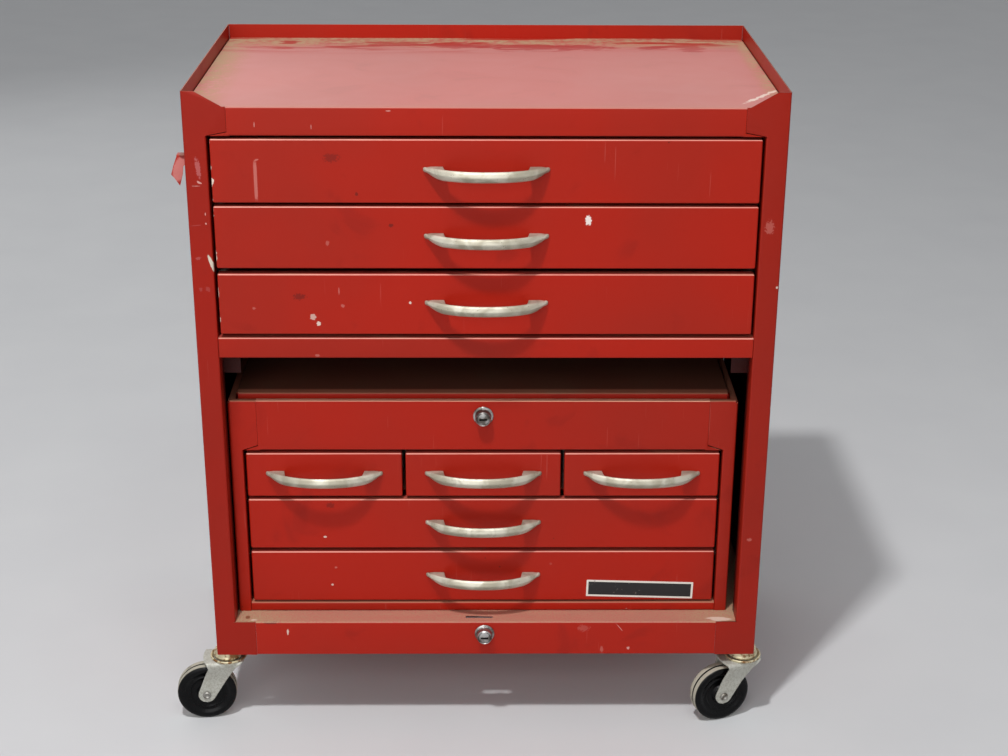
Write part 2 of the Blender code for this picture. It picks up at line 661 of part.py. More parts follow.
def build_cabinet_drawers(root):
    """The three wide drawers, their pulls and the two runner panels."""
    width = 2 * (OPENING_HALF - DRAWER_SIDE_GAP)
    top = HEADER_BOTTOM
    flanges = []
    for word, gap in zip(CABINET_DRAWERS, CABINET_DRAWER_GAPS):
        top -= gap
        bottom = top - CABINET_DRAWER_HEIGHT
        carrier = new_empty(word + "_drawer", root, (0, 0, bottom))
        drawer("cabinet_drawer_" + word, carrier, width, CABINET_DRAWER_HEIGHT, CABINET_DRAWER_DEPTH,
               BOX_INSET, True)
        build_pull("cabinet_pull_" + word, carrier, CABINET_DRAWER_HEIGHT / 2)
        flanges.append(top - BOX_TOP_DROP)
        top = bottom
    box_half = width / 2 - BOX_INSET
    for side, word in ((-1, "left"), (1, "right")):
        blanks = runner_blanks(INNER_HALF - RUNNER_STANDOFF, INNER_HALF, box_half + SEAT_GAP + SHEET,
                               RUNNER_START, INNER_BACK - RUNNER_END_GAP, flanges,
                               RAIL_TOP + SEAT_GAP, HEADER_BOTTOM + SHEET)
        part("cabinet_runners_" + word, sided(side, blanks), root, ZINC)


def build_chest_sides(chest):
    """Chest side sheets with their posts, header ears and the ledge along the top."""
    flat_top = CHEST_HALF - LEDGE_WIDTH
    ear_x = CHEST_HALF - CHEST_EAR
    for side, word in ((-1, "left"), (1, "right")):
        shoulder = CHEST_HEIGHT - LAP
        blanks = side_blanks(CHEST_HALF, CHEST_DEPTH, shoulder, CHEST_POST, CHEST_RETURN, flat_top,
                             ((flat_top - LAP, shoulder), (ear_x, shoulder)), CHEST_HEADER_BOTTOM,
                             CHEST_NOTCH, 0)
        ledge = fold([(-flat_top, CHEST_HEIGHT - LEDGE_LIP), (-flat_top, CHEST_HEIGHT),
                      (-CHEST_HALF, CHEST_HEIGHT), (-CHEST_HALF, CHEST_HEADER_BOTTOM)],
                     BEND_RADIUS + SHEET / 2, CHEST_DEPTH, "Y")
        corner = fold([(LEDGE_WIDTH, CHEST_HEIGHT - LEDGE_LIP), (LEDGE_WIDTH, CHEST_HEIGHT),
                       (0, CHEST_HEIGHT), (0, CHEST_HEADER_BOTTOM + CHEST_NOTCH + LAP)],
                      -CHEST_HALF + BEND_RADIUS + SHEET / 2, -ear_x, "X")
        blanks += [ledge, corner]
        part("chest_" + word + "_side", sided(side, blanks), chest, PAINT)


def knuckle_span(index):
    """Ends of a hinge knuckle, counted from the left."""
    length = 2 * (CHEST_HALF - LEDGE_WIDTH - LID_GAP) / KNUCKLES
    left = -length * KNUCKLES / 2 + index * length
    return left + KNUCKLE_GAP / 2, left + length - KNUCKLE_GAP / 2


def build_chest_shell(chest):
    """Chest back with the fixed knuckles, header with its ledge, base, till floor and mid shelf."""
    hinge = (CHEST_DEPTH - HINGE_INSET, LID_TOP - HINGE_RADIUS)
    wall_front = CHEST_DEPTH - SHEET
    shoulder = CHEST_HEIGHT - LEDGE_LIP - SEAT_GAP
    back = box((-CHEST_INNER_HALF, wall_front, 0), (CHEST_INNER_HALF, CHEST_DEPTH, shoulder))
    half = CHEST_HALF - LEDGE_WIDTH - LID_GAP
    neck = box((-half, wall_front, shoulder - LAP), (half, CHEST_DEPTH, CHEST_HEIGHT - SHEET))
    knuckles = []
    for index in range(0, KNUCKLES, 2):
        left, right = knuckle_span(index)
        knuckles.append(rod(HINGE_RADIUS, left, right, "X", hinge, SMALL_STEPS))
        knuckles.append(box((left + SEAT_GAP, wall_front, shoulder), (right - SEAT_GAP, CHEST_DEPTH,
                                                                      hinge[1] + HINGE_STEM)))
    bore = rod(HINGE_BORE, -CHEST_HALF, CHEST_HALF, "X", hinge, SMALL_STEPS)
    part("chest_back", [back, neck] + knuckles, chest, PAINT, [bore])
    part("lid_hinge_pin", [rod(HINGE_PIN, -half, half, "X", hinge, SMALL_STEPS)], chest, ZINC)

    ear_x = CHEST_HALF - CHEST_EAR - SEAT_GAP
    header = fold([(LEDGE_WIDTH, CHEST_HEIGHT - LEDGE_LIP), (LEDGE_WIDTH, CHEST_HEIGHT), (0, CHEST_HEIGHT),
                   (0, CHEST_HEADER_BOTTOM), (CHEST_RETURN, CHEST_HEADER_BOTTOM)], -ear_x, ear_x, "X")
    wings = [prism([(side * (ear_x - LAP), CHEST_HEADER_BOTTOM),
                    (side * (CHEST_OPENING_HALF - LAP), CHEST_HEADER_BOTTOM),
                    (side * (ear_x - LAP), CHEST_HEADER_BOTTOM + CHEST_NOTCH)], 0, SHEET, "Y")
             for side in (-1, 1)]
    lock_hole = rod(LOCK_BARREL + SEAT_GAP, -OVERRUN, SHEET + OVERRUN, "Y",
                    (0, CHEST_HEIGHT - CHEST_LOCK_DROP))
    part("chest_header", [header] + wings, chest, PAINT, [lock_hole])

    rail = fold([(CHEST_RETURN, CHEST_RAIL_HEIGHT), (0, CHEST_RAIL_HEIGHT), (0, 0), (CHEST_INNER_BACK, 0),
                 (CHEST_INNER_BACK, CHEST_RAIL_HEIGHT)], -CHEST_BETWEEN_POSTS, CHEST_BETWEEN_POSTS, "X")
    behind = CHEST_RETURN + SEAT_GAP
    floor = box((-CHEST_INNER_HALF, behind, 0), (CHEST_INNER_HALF, CHEST_INNER_BACK - LAP, SHEET))
    part("chest_base", [rail, floor], chest, PAINT)

    for name, low, front in (("chest_till_floor", TILL_FLOOR, SHEET + SEAT_GAP),
                             ("chest_mid_shelf", MID_SHELF_TOP - SHEET, FRONT_PAN_DEPTH + LAP)):
        shelf = [(-CHEST_INNER_HALF, low + SHELF_LIP), (-CHEST_INNER_HALF, low), (CHEST_INNER_HALF, low),
                 (CHEST_INNER_HALF, low + SHELF_LIP)]
        part(name, [fold(shelf, front, CHEST_INNER_BACK, "Y")], chest, PAINT)


def small_drawer_width():
    """Width of one small drawer: the opening is shared by three, with equal gaps."""
    clear = 2 * (CHEST_OPENING_HALF - CHEST_DRAWER_SIDE_GAP)
    count = len(SMALL_DRAWERS)
    return (clear - (count - 1) * SMALL_DRAWER_SPACING) / count


def build_chest_drawers(chest):
    """Five drawers with their pulls, the dividers between the small ones, and the runner panels."""
    width = small_drawer_width()
    pitch = width + SMALL_DRAWER_SPACING
    for index, word in enumerate(SMALL_DRAWERS):
        carrier = new_empty("small_drawer_" + word, chest, ((index - 1) * pitch, 0, SMALL_BOTTOM))
        drawer("chest_drawer_" + word, carrier, width, SMALL_DRAWER_HEIGHT, CHEST_DRAWER_DEPTH,
               SMALL_BOX_INSET, False)
        build_pull("chest_pull_" + word, carrier, SMALL_DRAWER_HEIGHT / 2)
    for side, word in ((-1, "left"), (1, "right")):
        middle = side * pitch / 2
        half = DIVIDER_WIDTH / 2
        top = TILL_FLOOR - SEAT_GAP
        low = MID_SHELF_TOP + SEAT_GAP
        outline = [(middle + half, low), (middle + half, top), (middle - half, top), (middle - half, low)]
        part("chest_divider_" + word, [fold(outline, FRONT_PAN_DEPTH + LAP, CHEST_INNER_BACK, "Y")],
             chest, ZINC)

    wide = 2 * (CHEST_OPENING_HALF - CHEST_DRAWER_SIDE_GAP)
    top = SMALL_BOTTOM
    flanges = []
    for word, height, gap in zip(WIDE_DRAWERS, WIDE_DRAWER_HEIGHTS, WIDE_DRAWER_GAPS):
        top -= gap
        bottom = top - height
        carrier = new_empty("wide_drawer_" + word, chest, (0, 0, bottom))
        drawer("chest_drawer_" + word, carrier, wide, height, CHEST_DRAWER_DEPTH, BOX_INSET, True)
        build_pull("chest_pull_" + word, carrier, height / 2)
        flanges.append(top - BOX_TOP_DROP)
        top = bottom
    tip = wide / 2 - BOX_INSET + SEAT_GAP + SHEET
    for side, word in ((-1, "left"), (1, "right")):
        blanks = runner_blanks(CHEST_INNER_HALF - CHEST_RUNNER_STANDOFF, CHEST_INNER_HALF, tip,
                               CHEST_RUNNER_START, CHEST_INNER_BACK - RUNNER_END_GAP, flanges,
                               SHEET + SEAT_GAP, MID_SHELF_TOP - SHEET - SEAT_GAP)
        part("chest_runners_" + word, sided(side, blanks), chest, ZINC)


def build_lid(chest):
    """The lid, a shallow pan that nests inside the chest's ledge, on its hinge axis."""
    hinge_y = CHEST_DEPTH - HINGE_INSET
    hinge_z = LID_TOP - HINGE_RADIUS
    carrier = new_empty("lid_hinge", chest, (0, hinge_y, hinge_z))
    half = CHEST_HALF - LEDGE_WIDTH - LID_GAP
    front = LEDGE_WIDTH + LID_GAP - hinge_y
    rear = -HINGE_RADIUS - KNUCKLE_GAP
    top = HINGE_RADIUS
    skirt = top - LID_SKIRT
    front_fold = [(rear, top), (front, top), (front, skirt), (front + LID_FLANGE, skirt)]
    side_fold = [(half, skirt), (half, top), (-half, top), (-half, skirt)]
    corner = BEND_RADIUS + SHEET / 2
    blanks = [fold(front_fold, -half + corner, half - corner, "X"),
              fold(side_fold, front + corner, rear + SEAT_GAP, "Y")]
    leaf_top = top - SHEET / 4
    for index in range(1, KNUCKLES, 2):
        left, right = knuckle_span(index)
        blanks.append(rod(HINGE_RADIUS, left, right, "X", (0, 0), SMALL_STEPS))
        blanks.append(box((left + SEAT_GAP, rear - LAP, leaf_top - SHEET), (right - SEAT_GAP, 0, leaf_top)))
    bore = rod(HINGE_BORE, -CHEST_HALF, CHEST_HALF, "X", (0, 0), SMALL_STEPS)
    cam = LOCK_CAM_FRONT - hinge_y
    catch = box((-CATCH_SLOT / 2, cam - CAM_SLOT_MARGIN, skirt - OVERRUN),
                (CATCH_SLOT / 2, cam + CAM_THICKNESS + CAM_SLOT_MARGIN, skirt + SHEET + OVERRUN))
    part("chest_lid", blanks, carrier, PAINT, [bore, catch])


def build_lock(name, parent, x, z, cam_length, cam_turn):
    """A cam lock through a front sheet: dished face, barrel, nut, and a plug with its cam behind."""
    carrier = new_empty(name, parent, (x, 0, z))
    rear = -LOCK_BARREL_LENGTH - SHEET
    brow = LOCK_PROUD - LOCK_EDGE
    profile = [(0, brow), (LOCK_DISH, brow), (LOCK_FACE - LOCK_EDGE, LOCK_PROUD), (LOCK_FACE, brow),
               (LOCK_FACE, SEAT_GAP), (LOCK_BARREL, SEAT_GAP), (LOCK_BARREL, rear), (0, rear)]
    housing = turned(profile, ROUND_STEPS, False)
    housing.rotation_euler = (math.pi / 2, 0, 0)
    nut_front = SHEET + SEAT_GAP
    nut = rod(LOCK_NUT, nut_front, nut_front + LOCK_NUT_HEIGHT, "Y", (0, 0), 6)
    bore = rod(LOCK_PLUG + SEAT_GAP, -LOCK_PROUD - OVERRUN, -rear + OVERRUN, "Y")
    part(name + "_housing", [housing, nut], carrier, CHROME, [bore])

    face = -LOCK_PROUD + LOCK_EDGE
    cam_front = LOCK_CAM_FRONT
    plug = rod(LOCK_PLUG, face, cam_front + CAM_THICKNESS + SHEET, "Y")
    reach = math.cos(cam_turn), math.sin(cam_turn)
    across = -reach[1] * CAM_WIDTH / 2, reach[0] * CAM_WIDTH / 2
    tip = reach[0] * cam_length, reach[1] * cam_length
    cam = prism([(across[0], across[1]), (-across[0], -across[1]),
                 (tip[0] - across[0], tip[1] - across[1]), (tip[0] + across[0], tip[1] + across[1])],
                cam_front, cam_front + CAM_THICKNESS, "Y")
    key = box((-KEY_SLOT_LENGTH / 2, face - OVERRUN, -KEY_SLOT_WIDTH / 2),
              (KEY_SLOT_LENGTH / 2, face + KEY_SLOT_DEPTH, KEY_SLOT_WIDTH / 2))
    part(name + "_plug", [plug, cam], carrier, CHROME, [key])


def build_caster(root, name, side, end, yaw):
    """A swivel caster: race cup with its stem, pressed fork, riveted axle and grooved wheel."""
    y = CABINET_DEPTH - CASTER_END_INSET if end else CASTER_END_INSET
    swivel = new_empty(name + "_swivel", root, (side * CASTER_X, y, 0), math.radians(yaw))
    stem_top = HEAVY_SHEET + STEM_LENGTH
    cup_bottom = -SEAT_GAP - RACE_HEIGHT
    head_top = cup_bottom - FORK_PLATE - 2 * SEAT_GAP
    mount = turned([(0, stem_top), (STEM_RADIUS, stem_top), (STEM_RADIUS, -SEAT_GAP),
                    (RACE_RADIUS - RACE_RIM, -SEAT_GAP), (RACE_RADIUS, -SEAT_GAP - RACE_RIM),
                    (RACE_RADIUS, cup_bottom + RACE_RIM), (RACE_RADIUS - RACE_RIM, cup_bottom),
                    (KINGPIN_RADIUS, cup_bottom), (KINGPIN_RADIUS, head_top), (KINGPIN_HEAD, head_top),
                    (KINGPIN_HEAD, head_top - KINGPIN_HEAD_HEIGHT), (0, head_top - KINGPIN_HEAD_HEIGHT)],
                   ROUND_STEPS, False)
    nut_low = HEAVY_SHEET + SEAT_GAP
    nut = rod(STEM_NUT / 2 / math.cos(math.pi / 6), nut_low, nut_low + STEM_NUT_HEIGHT, "Z", (0, 0), 6,
              math.pi / 6)
    fixed = new_empty(name + "_seat", root, (side * CASTER_X, y, 0))
    smooth(part(name + "_mount", [mount, nut], fixed, BRASS_ZINC))

    crown_top = cup_bottom - SEAT_GAP
    crown_low = crown_top - FORK_PLATE
    foot_low = -AXLE_DROP - FORK_FOOT_RADIUS - OVERRUN
    sheet = fold([(FORK_FOOT_HALF_WIDTH, foot_low), (FORK_FOOT_HALF_WIDTH, -FORK_KNEE_DROP),
                  (FORK_TOP_HALF_WIDTH, crown_top), (-FORK_TOP_HALF_WIDTH, crown_top),
                  (-FORK_FOOT_HALF_WIDTH, -FORK_KNEE_DROP), (-FORK_FOOT_HALF_WIDTH, foot_low)],
                 -TRAIL - FORK_FOOT_RADIUS - OVERRUN, FORK_TOP_FRONT + OVERRUN, "X", FORK_PLATE, FORK_BEND)
    side_view = prism(fork_outline(crown_low), -FORK_TOP_HALF_WIDTH - OVERRUN,
                      FORK_TOP_HALF_WIDTH + OVERRUN, "Y")
    lip = RACE_RADIUS + SEAT_GAP
    dish = turned([(RACE_RADIUS + RACE_LIP, crown_top + RACE_LIP), (RACE_RADIUS + RACE_LIP, crown_low),
                   (RACE_RADIUS - FORK_PLATE, crown_low - SEAT_GAP),
                   (RACE_RADIUS - FORK_PLATE, crown_top - 2 * SEAT_GAP), (lip, crown_top - SEAT_GAP),
                   (lip, crown_top + RACE_LIP)], ROUND_STEPS, True)
    pin_hole = rod(KINGPIN_RADIUS + SEAT_GAP, crown_low - OVERRUN, crown_top + OVERRUN, "Z", (0, 0),
                   SMALL_STEPS)
    axle_hole = rod(AXLE_RADIUS + SEAT_GAP, -FORK_TOP_HALF_WIDTH, FORK_TOP_HALF_WIDTH, "Y",
                    (-TRAIL, -AXLE_DROP), SMALL_STEPS)
    part(name + "_fork", [sheet, dish], swivel, ZINC, [pin_hole, axle_hole], [side_view])

    centre = new_empty(name + "_axle_line", swivel, (-TRAIL, 0, -AXLE_DROP))
    head = FORK_FOOT_HALF_WIDTH + SEAT_GAP
    axle = turned([(0, head + AXLE_HEAD_HEIGHT), (AXLE_HEAD - AXLE_HEAD_HEIGHT, head + AXLE_HEAD_HEIGHT),
                   (AXLE_HEAD, head), (AXLE_RADIUS, head), (AXLE_RADIUS, -head), (AXLE_HEAD, -head),
                   (AXLE_HEAD - AXLE_HEAD_HEIGHT, -head - AXLE_HEAD_HEIGHT),
                   (0, -head - AXLE_HEAD_HEIGHT)], SMALL_STEPS, False)
    axle = part(name + "_axle", [axle], centre, ZINC)
    axle.rotation_euler = (math.pi / 2, 0, 0)
    smooth(axle)
    wheel = part(name + "_wheel", [turned(wheel_profile(), WHEEL_STEPS, True)], centre, HARD_RUBBER)
    wheel.rotation_euler = (math.pi / 2, 0, 0)
    smooth(wheel)


def fork_outline(crown_low):
    """Side view of the fork: straight edges from the crown, tangent to the round end at the axle."""
    radius = FORK_FOOT_RADIUS
    points = [(FORK_TOP_FRONT, OVERRUN), (-FORK_TOP_BACK, OVERRUN), (-FORK_TOP_BACK, crown_low)]
    bearings = []
    for x, hand in ((-FORK_TOP_BACK, 1), (FORK_TOP_FRONT, -1)):
        away = x + TRAIL
        above = crown_low + AXLE_DROP
        bearings.append(math.atan2(above, away) + hand * math.acos(radius / math.hypot(above, away)))
    start, stop = bearings
    stop += 2 * math.pi if stop < start else 0
    for step in range(FOOT_STEPS + 1):
        angle = start + (stop - start) * step / FOOT_STEPS
        points.append((-TRAIL + radius * math.cos(angle), -AXLE_DROP + radius * math.sin(angle)))
    return points + [(FORK_TOP_FRONT, crown_low)]


def wheel_profile():
    """Half section of the wheel: hub, dished web and a tyre with rounded shoulders and a groove."""
    half = WHEEL_WIDTH / 2
    hub = HUB_WIDTH / 2
    web = WEB_WIDTH / 2
    groove = GROOVE_WIDTH / 2
    bore = AXLE_RADIUS + SEAT_GAP
    upper = [(bore, hub), (HUB_RADIUS, hub), (HUB_RADIUS + LAP, web), (WEB_RADIUS, web),
             (WEB_RADIUS + LAP, half), (WHEEL_RADIUS - TREAD_SHOULDER, half),
             (WHEEL_RADIUS, half - TREAD_SHOULDER), (WHEEL_RADIUS, groove),
             (WHEEL_RADIUS - GROOVE_DEPTH, groove)]
    return upper + [(radius, -height) for radius, height in reversed(upper)]


def build_all():
    """Builds the cabinet, the chest in its compartment, the locks and the casters."""
    root = new_empty("rolling_tool_box", None,
                     ((LEFT_REACH - RIGHT_REACH) / 2, -(BACK_REACH - FRONT_REACH) / 2, FLOOR_DROP))
    build_cabinet_sides(root)
    build_cabinet_shell(root)
    build_cabinet_base(root)
    build_bracket(root)
    build_cabinet_drawers(root)
    build_lock("sill_lock", root, SILL_LOCK_X, SILL_HEIGHT - SILL_LOCK_DROP, SILL_CAM_LENGTH, math.pi)
    for name, side, end, yaw in CASTERS:
        build_caster(root, name + "_caster", side, end, yaw)
    chest = new_empty("tool_chest", root, (CHEST_SHIFT, CHEST_SETBACK, SILL_HEIGHT + SEAT_GAP))
    build_chest_sides(chest)
    build_chest_shell(chest)
    build_chest_drawers(chest)
    build_lid(chest)
    build_lock("chest_lock", chest, 0, CHEST_HEIGHT - CHEST_LOCK_DROP, CHEST_CAM_LENGTH, math.pi)


clear_scene()
PARTS = new_collection("rolling_tool_box")
TOOLS = new_collection("cutters")
build_all()
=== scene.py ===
"""Looks of a rolling tool box: a red roller cabinet with a separate tool chest in its open compartment.

Lengths are metres. Places are given in the cabinet's own frame, in which x = 0 is its middle, y = 0 its
front plane with +Y towards the back, and z = 0 the lower edge of its body.
"""

import json
import logging
import math
from collections.abc import Sequence
from dataclasses import dataclass, field, replace
from enum import Enum

import bmesh
import bpy
import numpy as np
from mathutils import Matrix, Vector

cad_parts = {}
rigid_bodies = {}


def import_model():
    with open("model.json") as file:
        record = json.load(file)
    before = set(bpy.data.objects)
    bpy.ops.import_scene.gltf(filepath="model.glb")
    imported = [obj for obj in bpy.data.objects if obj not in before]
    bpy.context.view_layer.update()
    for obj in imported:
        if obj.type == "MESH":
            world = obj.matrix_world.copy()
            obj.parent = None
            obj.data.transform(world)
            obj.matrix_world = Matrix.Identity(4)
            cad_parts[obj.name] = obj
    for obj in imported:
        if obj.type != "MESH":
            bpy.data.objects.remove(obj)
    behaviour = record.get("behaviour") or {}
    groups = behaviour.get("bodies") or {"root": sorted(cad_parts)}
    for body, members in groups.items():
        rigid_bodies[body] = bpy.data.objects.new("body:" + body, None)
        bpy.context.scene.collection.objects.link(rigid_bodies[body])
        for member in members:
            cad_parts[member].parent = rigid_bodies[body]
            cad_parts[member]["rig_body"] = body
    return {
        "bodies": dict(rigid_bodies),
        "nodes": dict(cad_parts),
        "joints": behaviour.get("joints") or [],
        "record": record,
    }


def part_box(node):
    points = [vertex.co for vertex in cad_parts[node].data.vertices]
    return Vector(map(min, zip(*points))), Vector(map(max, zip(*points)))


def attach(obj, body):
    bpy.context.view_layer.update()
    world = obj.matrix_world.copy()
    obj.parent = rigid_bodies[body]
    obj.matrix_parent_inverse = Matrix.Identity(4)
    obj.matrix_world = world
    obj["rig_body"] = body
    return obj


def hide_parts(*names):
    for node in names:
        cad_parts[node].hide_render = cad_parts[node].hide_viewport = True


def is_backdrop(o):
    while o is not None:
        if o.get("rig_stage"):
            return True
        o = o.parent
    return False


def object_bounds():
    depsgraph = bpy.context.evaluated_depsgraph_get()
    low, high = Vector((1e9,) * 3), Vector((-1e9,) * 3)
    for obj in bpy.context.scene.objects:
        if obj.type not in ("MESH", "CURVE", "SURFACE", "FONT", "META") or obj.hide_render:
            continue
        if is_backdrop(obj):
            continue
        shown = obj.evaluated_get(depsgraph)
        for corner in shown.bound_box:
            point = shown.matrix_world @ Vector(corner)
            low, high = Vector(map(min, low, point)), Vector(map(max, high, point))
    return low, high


log = logging.getLogger("tool_box")
SEAT = 0.0003

Colour = tuple[float, float, float]


def srgb(red: int, green: int, blue: int) -> Colour:
    """Turns a display colour into linear light.

    Args:
        red, green, blue: Display levels from 0 to 255.

    Returns:
        The three linear levels.
    """
    def linear(level: int) -> float:
        """The display curve's inverse for one level."""
        share = level / 255
        return share / 12.92 if share <= 0.04045 else ((share + 0.055) / 1.055) ** 2.4
    return linear(red), linear(green), linear(blue)


class Value:
    """A shader socket whose operators add Math nodes to its own tree."""

    def __init__(self, maker: "NodeTree", socket: bpy.types.NodeSocket | None) -> None:
        """Wraps one output socket of a tree."""
        self.maker = maker
        self.socket = socket

    def _math(self, operation: str, *operands: "Value | float") -> "Value":
        """Adds one Math node.

        Args:
            operation: The node's operation.
            operands: Its inputs in order.

        Returns:
            The node's result.
        """
        return self.maker.node("ShaderNodeMath", {"operation": operation}, dict(enumerate(operands)))

    def __add__(self, other: "Value | float") -> "Value":
        """Sum."""
        return self._math("ADD", self, other)

    __radd__ = __add__

    def __sub__(self, other: "Value | float") -> "Value":
        """Difference."""
        return self._math("SUBTRACT", self, other)

    def __rsub__(self, other: float) -> "Value":
        """Difference with the number first."""
        return self._math("SUBTRACT", other, self)

    def __mul__(self, other: "Value | float") -> "Value":
        """Product."""
        return self._math("MULTIPLY", self, other)

    __rmul__ = __mul__

    def __truediv__(self, other: "Value | float") -> "Value":
        """Quotient."""
        return self._math("DIVIDE", self, other)

    def __pow__(self, other: float) -> "Value":
        """Power."""
        return self._math("POWER", self, other)

    def __abs__(self) -> "Value":
        """Size without its sign."""
        return self._math("ABSOLUTE", self)

    def at_most(self, other: "Value | float") -> "Value":
        """The smaller of the two."""
        return self._math("MINIMUM", self, other)

    def at_least(self, other: "Value | float") -> "Value":
        """The larger of the two."""
        return self._math("MAXIMUM", self, other)

    def rise(self, low: float, high: float) -> "Value":
        """A smooth step that runs from 0 at low to 1 at high.

        Args:
            low: Where the step starts; it may lie above high for a falling step.
            high: Where it ends.

        Returns:
            The step.
        """
        return self.maker.node("ShaderNodeMapRange", {"interpolation_type": "SMOOTHSTEP"},
                               {"Value": self, "From Min": low, "From Max": high})


class NodeTree:
    """A node tree with one maker for all of its nodes."""

    def __init__(self, tree: bpy.types.NodeTree) -> None:
        """Wraps a material's or a world's tree."""
        self.tree = tree

    def node(self, kind: str, settings: dict | None = None, inputs: dict | None = None,
             output: int | str = 0) -> Value:
        """Adds a node, sets it and fills its sockets.

        Args:
            kind: The node's type.
            settings: Attributes that are set first.
            inputs: Socket index or name to a value or a link.
            output: Index or name of the socket that is returned.

        Returns:
            The chosen output; it is empty where the node has none.
        """
        made = self.tree.nodes.new(kind)
        for key, value in (settings or {}).items():
            setattr(made, key, value)
        self.fill(made, inputs or {})
        return Value(self, made.outputs[output]) if made.outputs else Value(self, None)

    def fill(self, made: bpy.types.Node, inputs: dict) -> None:
        """Gives a node's sockets their values and links.

        Args:
            made: The node.
            inputs: Socket index or name to a value or a link.
        """
        for key, value in inputs.items():
            if isinstance(value, Value):
                self.tree.links.new(value.socket, made.inputs[key])
            else:
                made.inputs[key].default_value = value


class Painter(NodeTree):
    """Builds one material's node tree."""

    def __init__(self, name: str, origin: Sequence[float]) -> None:
        """Starts a material whose coordinates are taken in the cabinet's frame.

        Args:
            name: The material's name.
            origin: The cabinet's origin in the row's frame.
        """
        self.material = bpy.data.materials.new(name)
        self.material.use_nodes = True
        super().__init__(self.material.node_tree)
        self.shader = self.tree.nodes["Principled BSDF"]
        coordinates = self.node("ShaderNodeTexCoord", output="Object")
        self.place = self.node("ShaderNodeVectorMath", {"operation": "SUBTRACT"},
                               {0: coordinates, 1: tuple(origin)})
        self.x, self.y, self.z = self.split(self.place)

    def split(self, vector: Value) -> tuple[Value, Value, Value]:
        """The three parts of a vector."""
        parts = self.node("ShaderNodeSeparateXYZ", inputs={0: vector})
        return tuple(Value(self, socket) for socket in parts.socket.node.outputs)

    def stretched(self, factors: Sequence[float], turn: Sequence[float] = (0, 0, 0)) -> Value:
        """The place, turned and then stretched along each axis.

        Args:
            factors: Stretch along x, y and z; small values draw a pattern out.
            turn: Angles about the three axes.

        Returns:
            The new vector.
        """
        return self.node("ShaderNodeMapping", {"vector_type": "POINT"},
                         {"Vector": self.place, "Rotation": tuple(turn), "Scale": tuple(factors)})

    def noise(self, scale: float, detail: float = 2.0, vector: Value | None = None,
              distortion: float = 0.0) -> Value:
        """Fractal noise from 0 to 1.

        Args:
            scale: Waves per metre.
            detail: Octaves.
            vector: Where it is read; the place by default.
            distortion: How far the pattern is drawn about.

        Returns:
            The noise.
        """
        return self.node("ShaderNodeTexNoise", inputs={"Vector": vector or self.place, "Scale": scale,
                                                       "Detail": detail, "Distortion": distortion})

    def specks(self, spacing: float, size: float, share: float, vector: Value | None = None) -> Value:
        """Round specks of one size in a few cells of a random grid.

        Args:
            spacing: Cells per metre.
            size: Radius as a share of a cell.
            share: Share of the cells that hold a speck.
            vector: Where the pattern is read; the place by default.

        Returns:
            1 on the specks.
        """
        cells = self.node("ShaderNodeTexVoronoi", inputs={"Vector": vector or self.place, "Scale": spacing})
        colour = Value(self, cells.socket.node.outputs["Color"])
        chance, radius, _ = self.split(colour)
        return cells.rise(size, size * 0.6) * chance.rise(1 - share, 1 - share * 0.9) * radius.rise(0.0, 0.6)

    def mix(self, factor: Value | float, first: Value | Colour, second: Value | Colour) -> Value:
        """Mixes two colours.

        Args:
            factor: 0 gives the first and 1 the second.
            first, second: Colours or links.

        Returns:
            The mixed colour.
        """
        colours = [value if isinstance(value, Value) else (*value, 1.0) for value in (first, second)]
        return self.node("ShaderNodeMix", {"data_type": "RGBA"}, {0: factor, 6: colours[0], 7: colours[1]}, 2)

    def facing(self) -> tuple[Value, Value, Value]:
        """The surface's normal in the row's frame."""
        return self.split(self.node("ShaderNodeNewGeometry", output="Normal"))

    def bumped(self, *layers: tuple[Value, float]) -> Value:
        """Stacks height patterns.

        Args:
            layers: Each pattern with its height in metres.

        Returns:
            The bent normal.
        """
        normal = None
        for height, distance in layers:
            inputs = {"Height": height, "Distance": distance, "Strength": 1.0}
            if normal is not None:
                inputs["Normal"] = normal
            normal = self.node("ShaderNodeBump", inputs=inputs)
        return normal

    def finish(self, colour: Value, roughness: Value | float, metallic: Value | float = 0.0,
               normal: Value | None = None, **constants: float) -> bpy.types.Material:
        """Joins the patterns to the shader.

        Args:
            colour, roughness, metallic: Values or links for those sockets.
            normal: The bent normal.
            constants: Further sockets by name, with underscores for spaces.

        Returns:
            The finished material.
        """
        values = {"Base Color": colour, "Roughness": roughness, "Metallic": metallic}
        if normal is not None:
            values["Normal"] = normal
        values.update({key.replace("_", " "): value for key, value in constants.items()})
        self.fill(self.shader, values)
        return self.material


class Dust(Enum):
    """Where dirt and painted sheen gather on a painted sheet; it also picks the painted highlight on the
    folds.
    """

    EDGES = "edges"
    DECK = "deck"
    SILL = "sill"
    LEDGE = "ledge"
    SHADE = "shade"


@dataclass(frozen=True)
class Mark:
    """A chip, smear or stain, or a patch of painted shade or painted reflection, in the cabinet's x and z; in
    x and y where it is flat.
    """

    x: float
    z: float
    half_width: float
    half_height: float
    colour: Colour
    strength: float = 1.0
    ragged: float = 0.5
    turn: float = 0.0
    flat: bool = False
    squareness: float = 2.0

    def mask(self, painter: Painter, grain: Value) -> Value:
        """A turned ellipse with a ragged edge; a higher power than 2 squares it.

        Args:
            painter: The material's painter.
            grain: Noise that breaks the edge.

        Returns:
            1 inside the mark.
        """
        right, rise = painter.x - self.x, (painter.y if self.flat else painter.z) - self.z
        cosine, sine = math.cos(self.turn), math.sin(self.turn)
        across = (right * cosine + rise * sine) / self.half_width
        up = (rise * cosine - right * sine) / self.half_height
        power = self.squareness
        distance = (abs(across) ** power + abs(up) ** power) ** (1 / power) + (grain - 0.5) * self.ragged * 2
        return distance.rise(1.05, 0.75) * self.strength


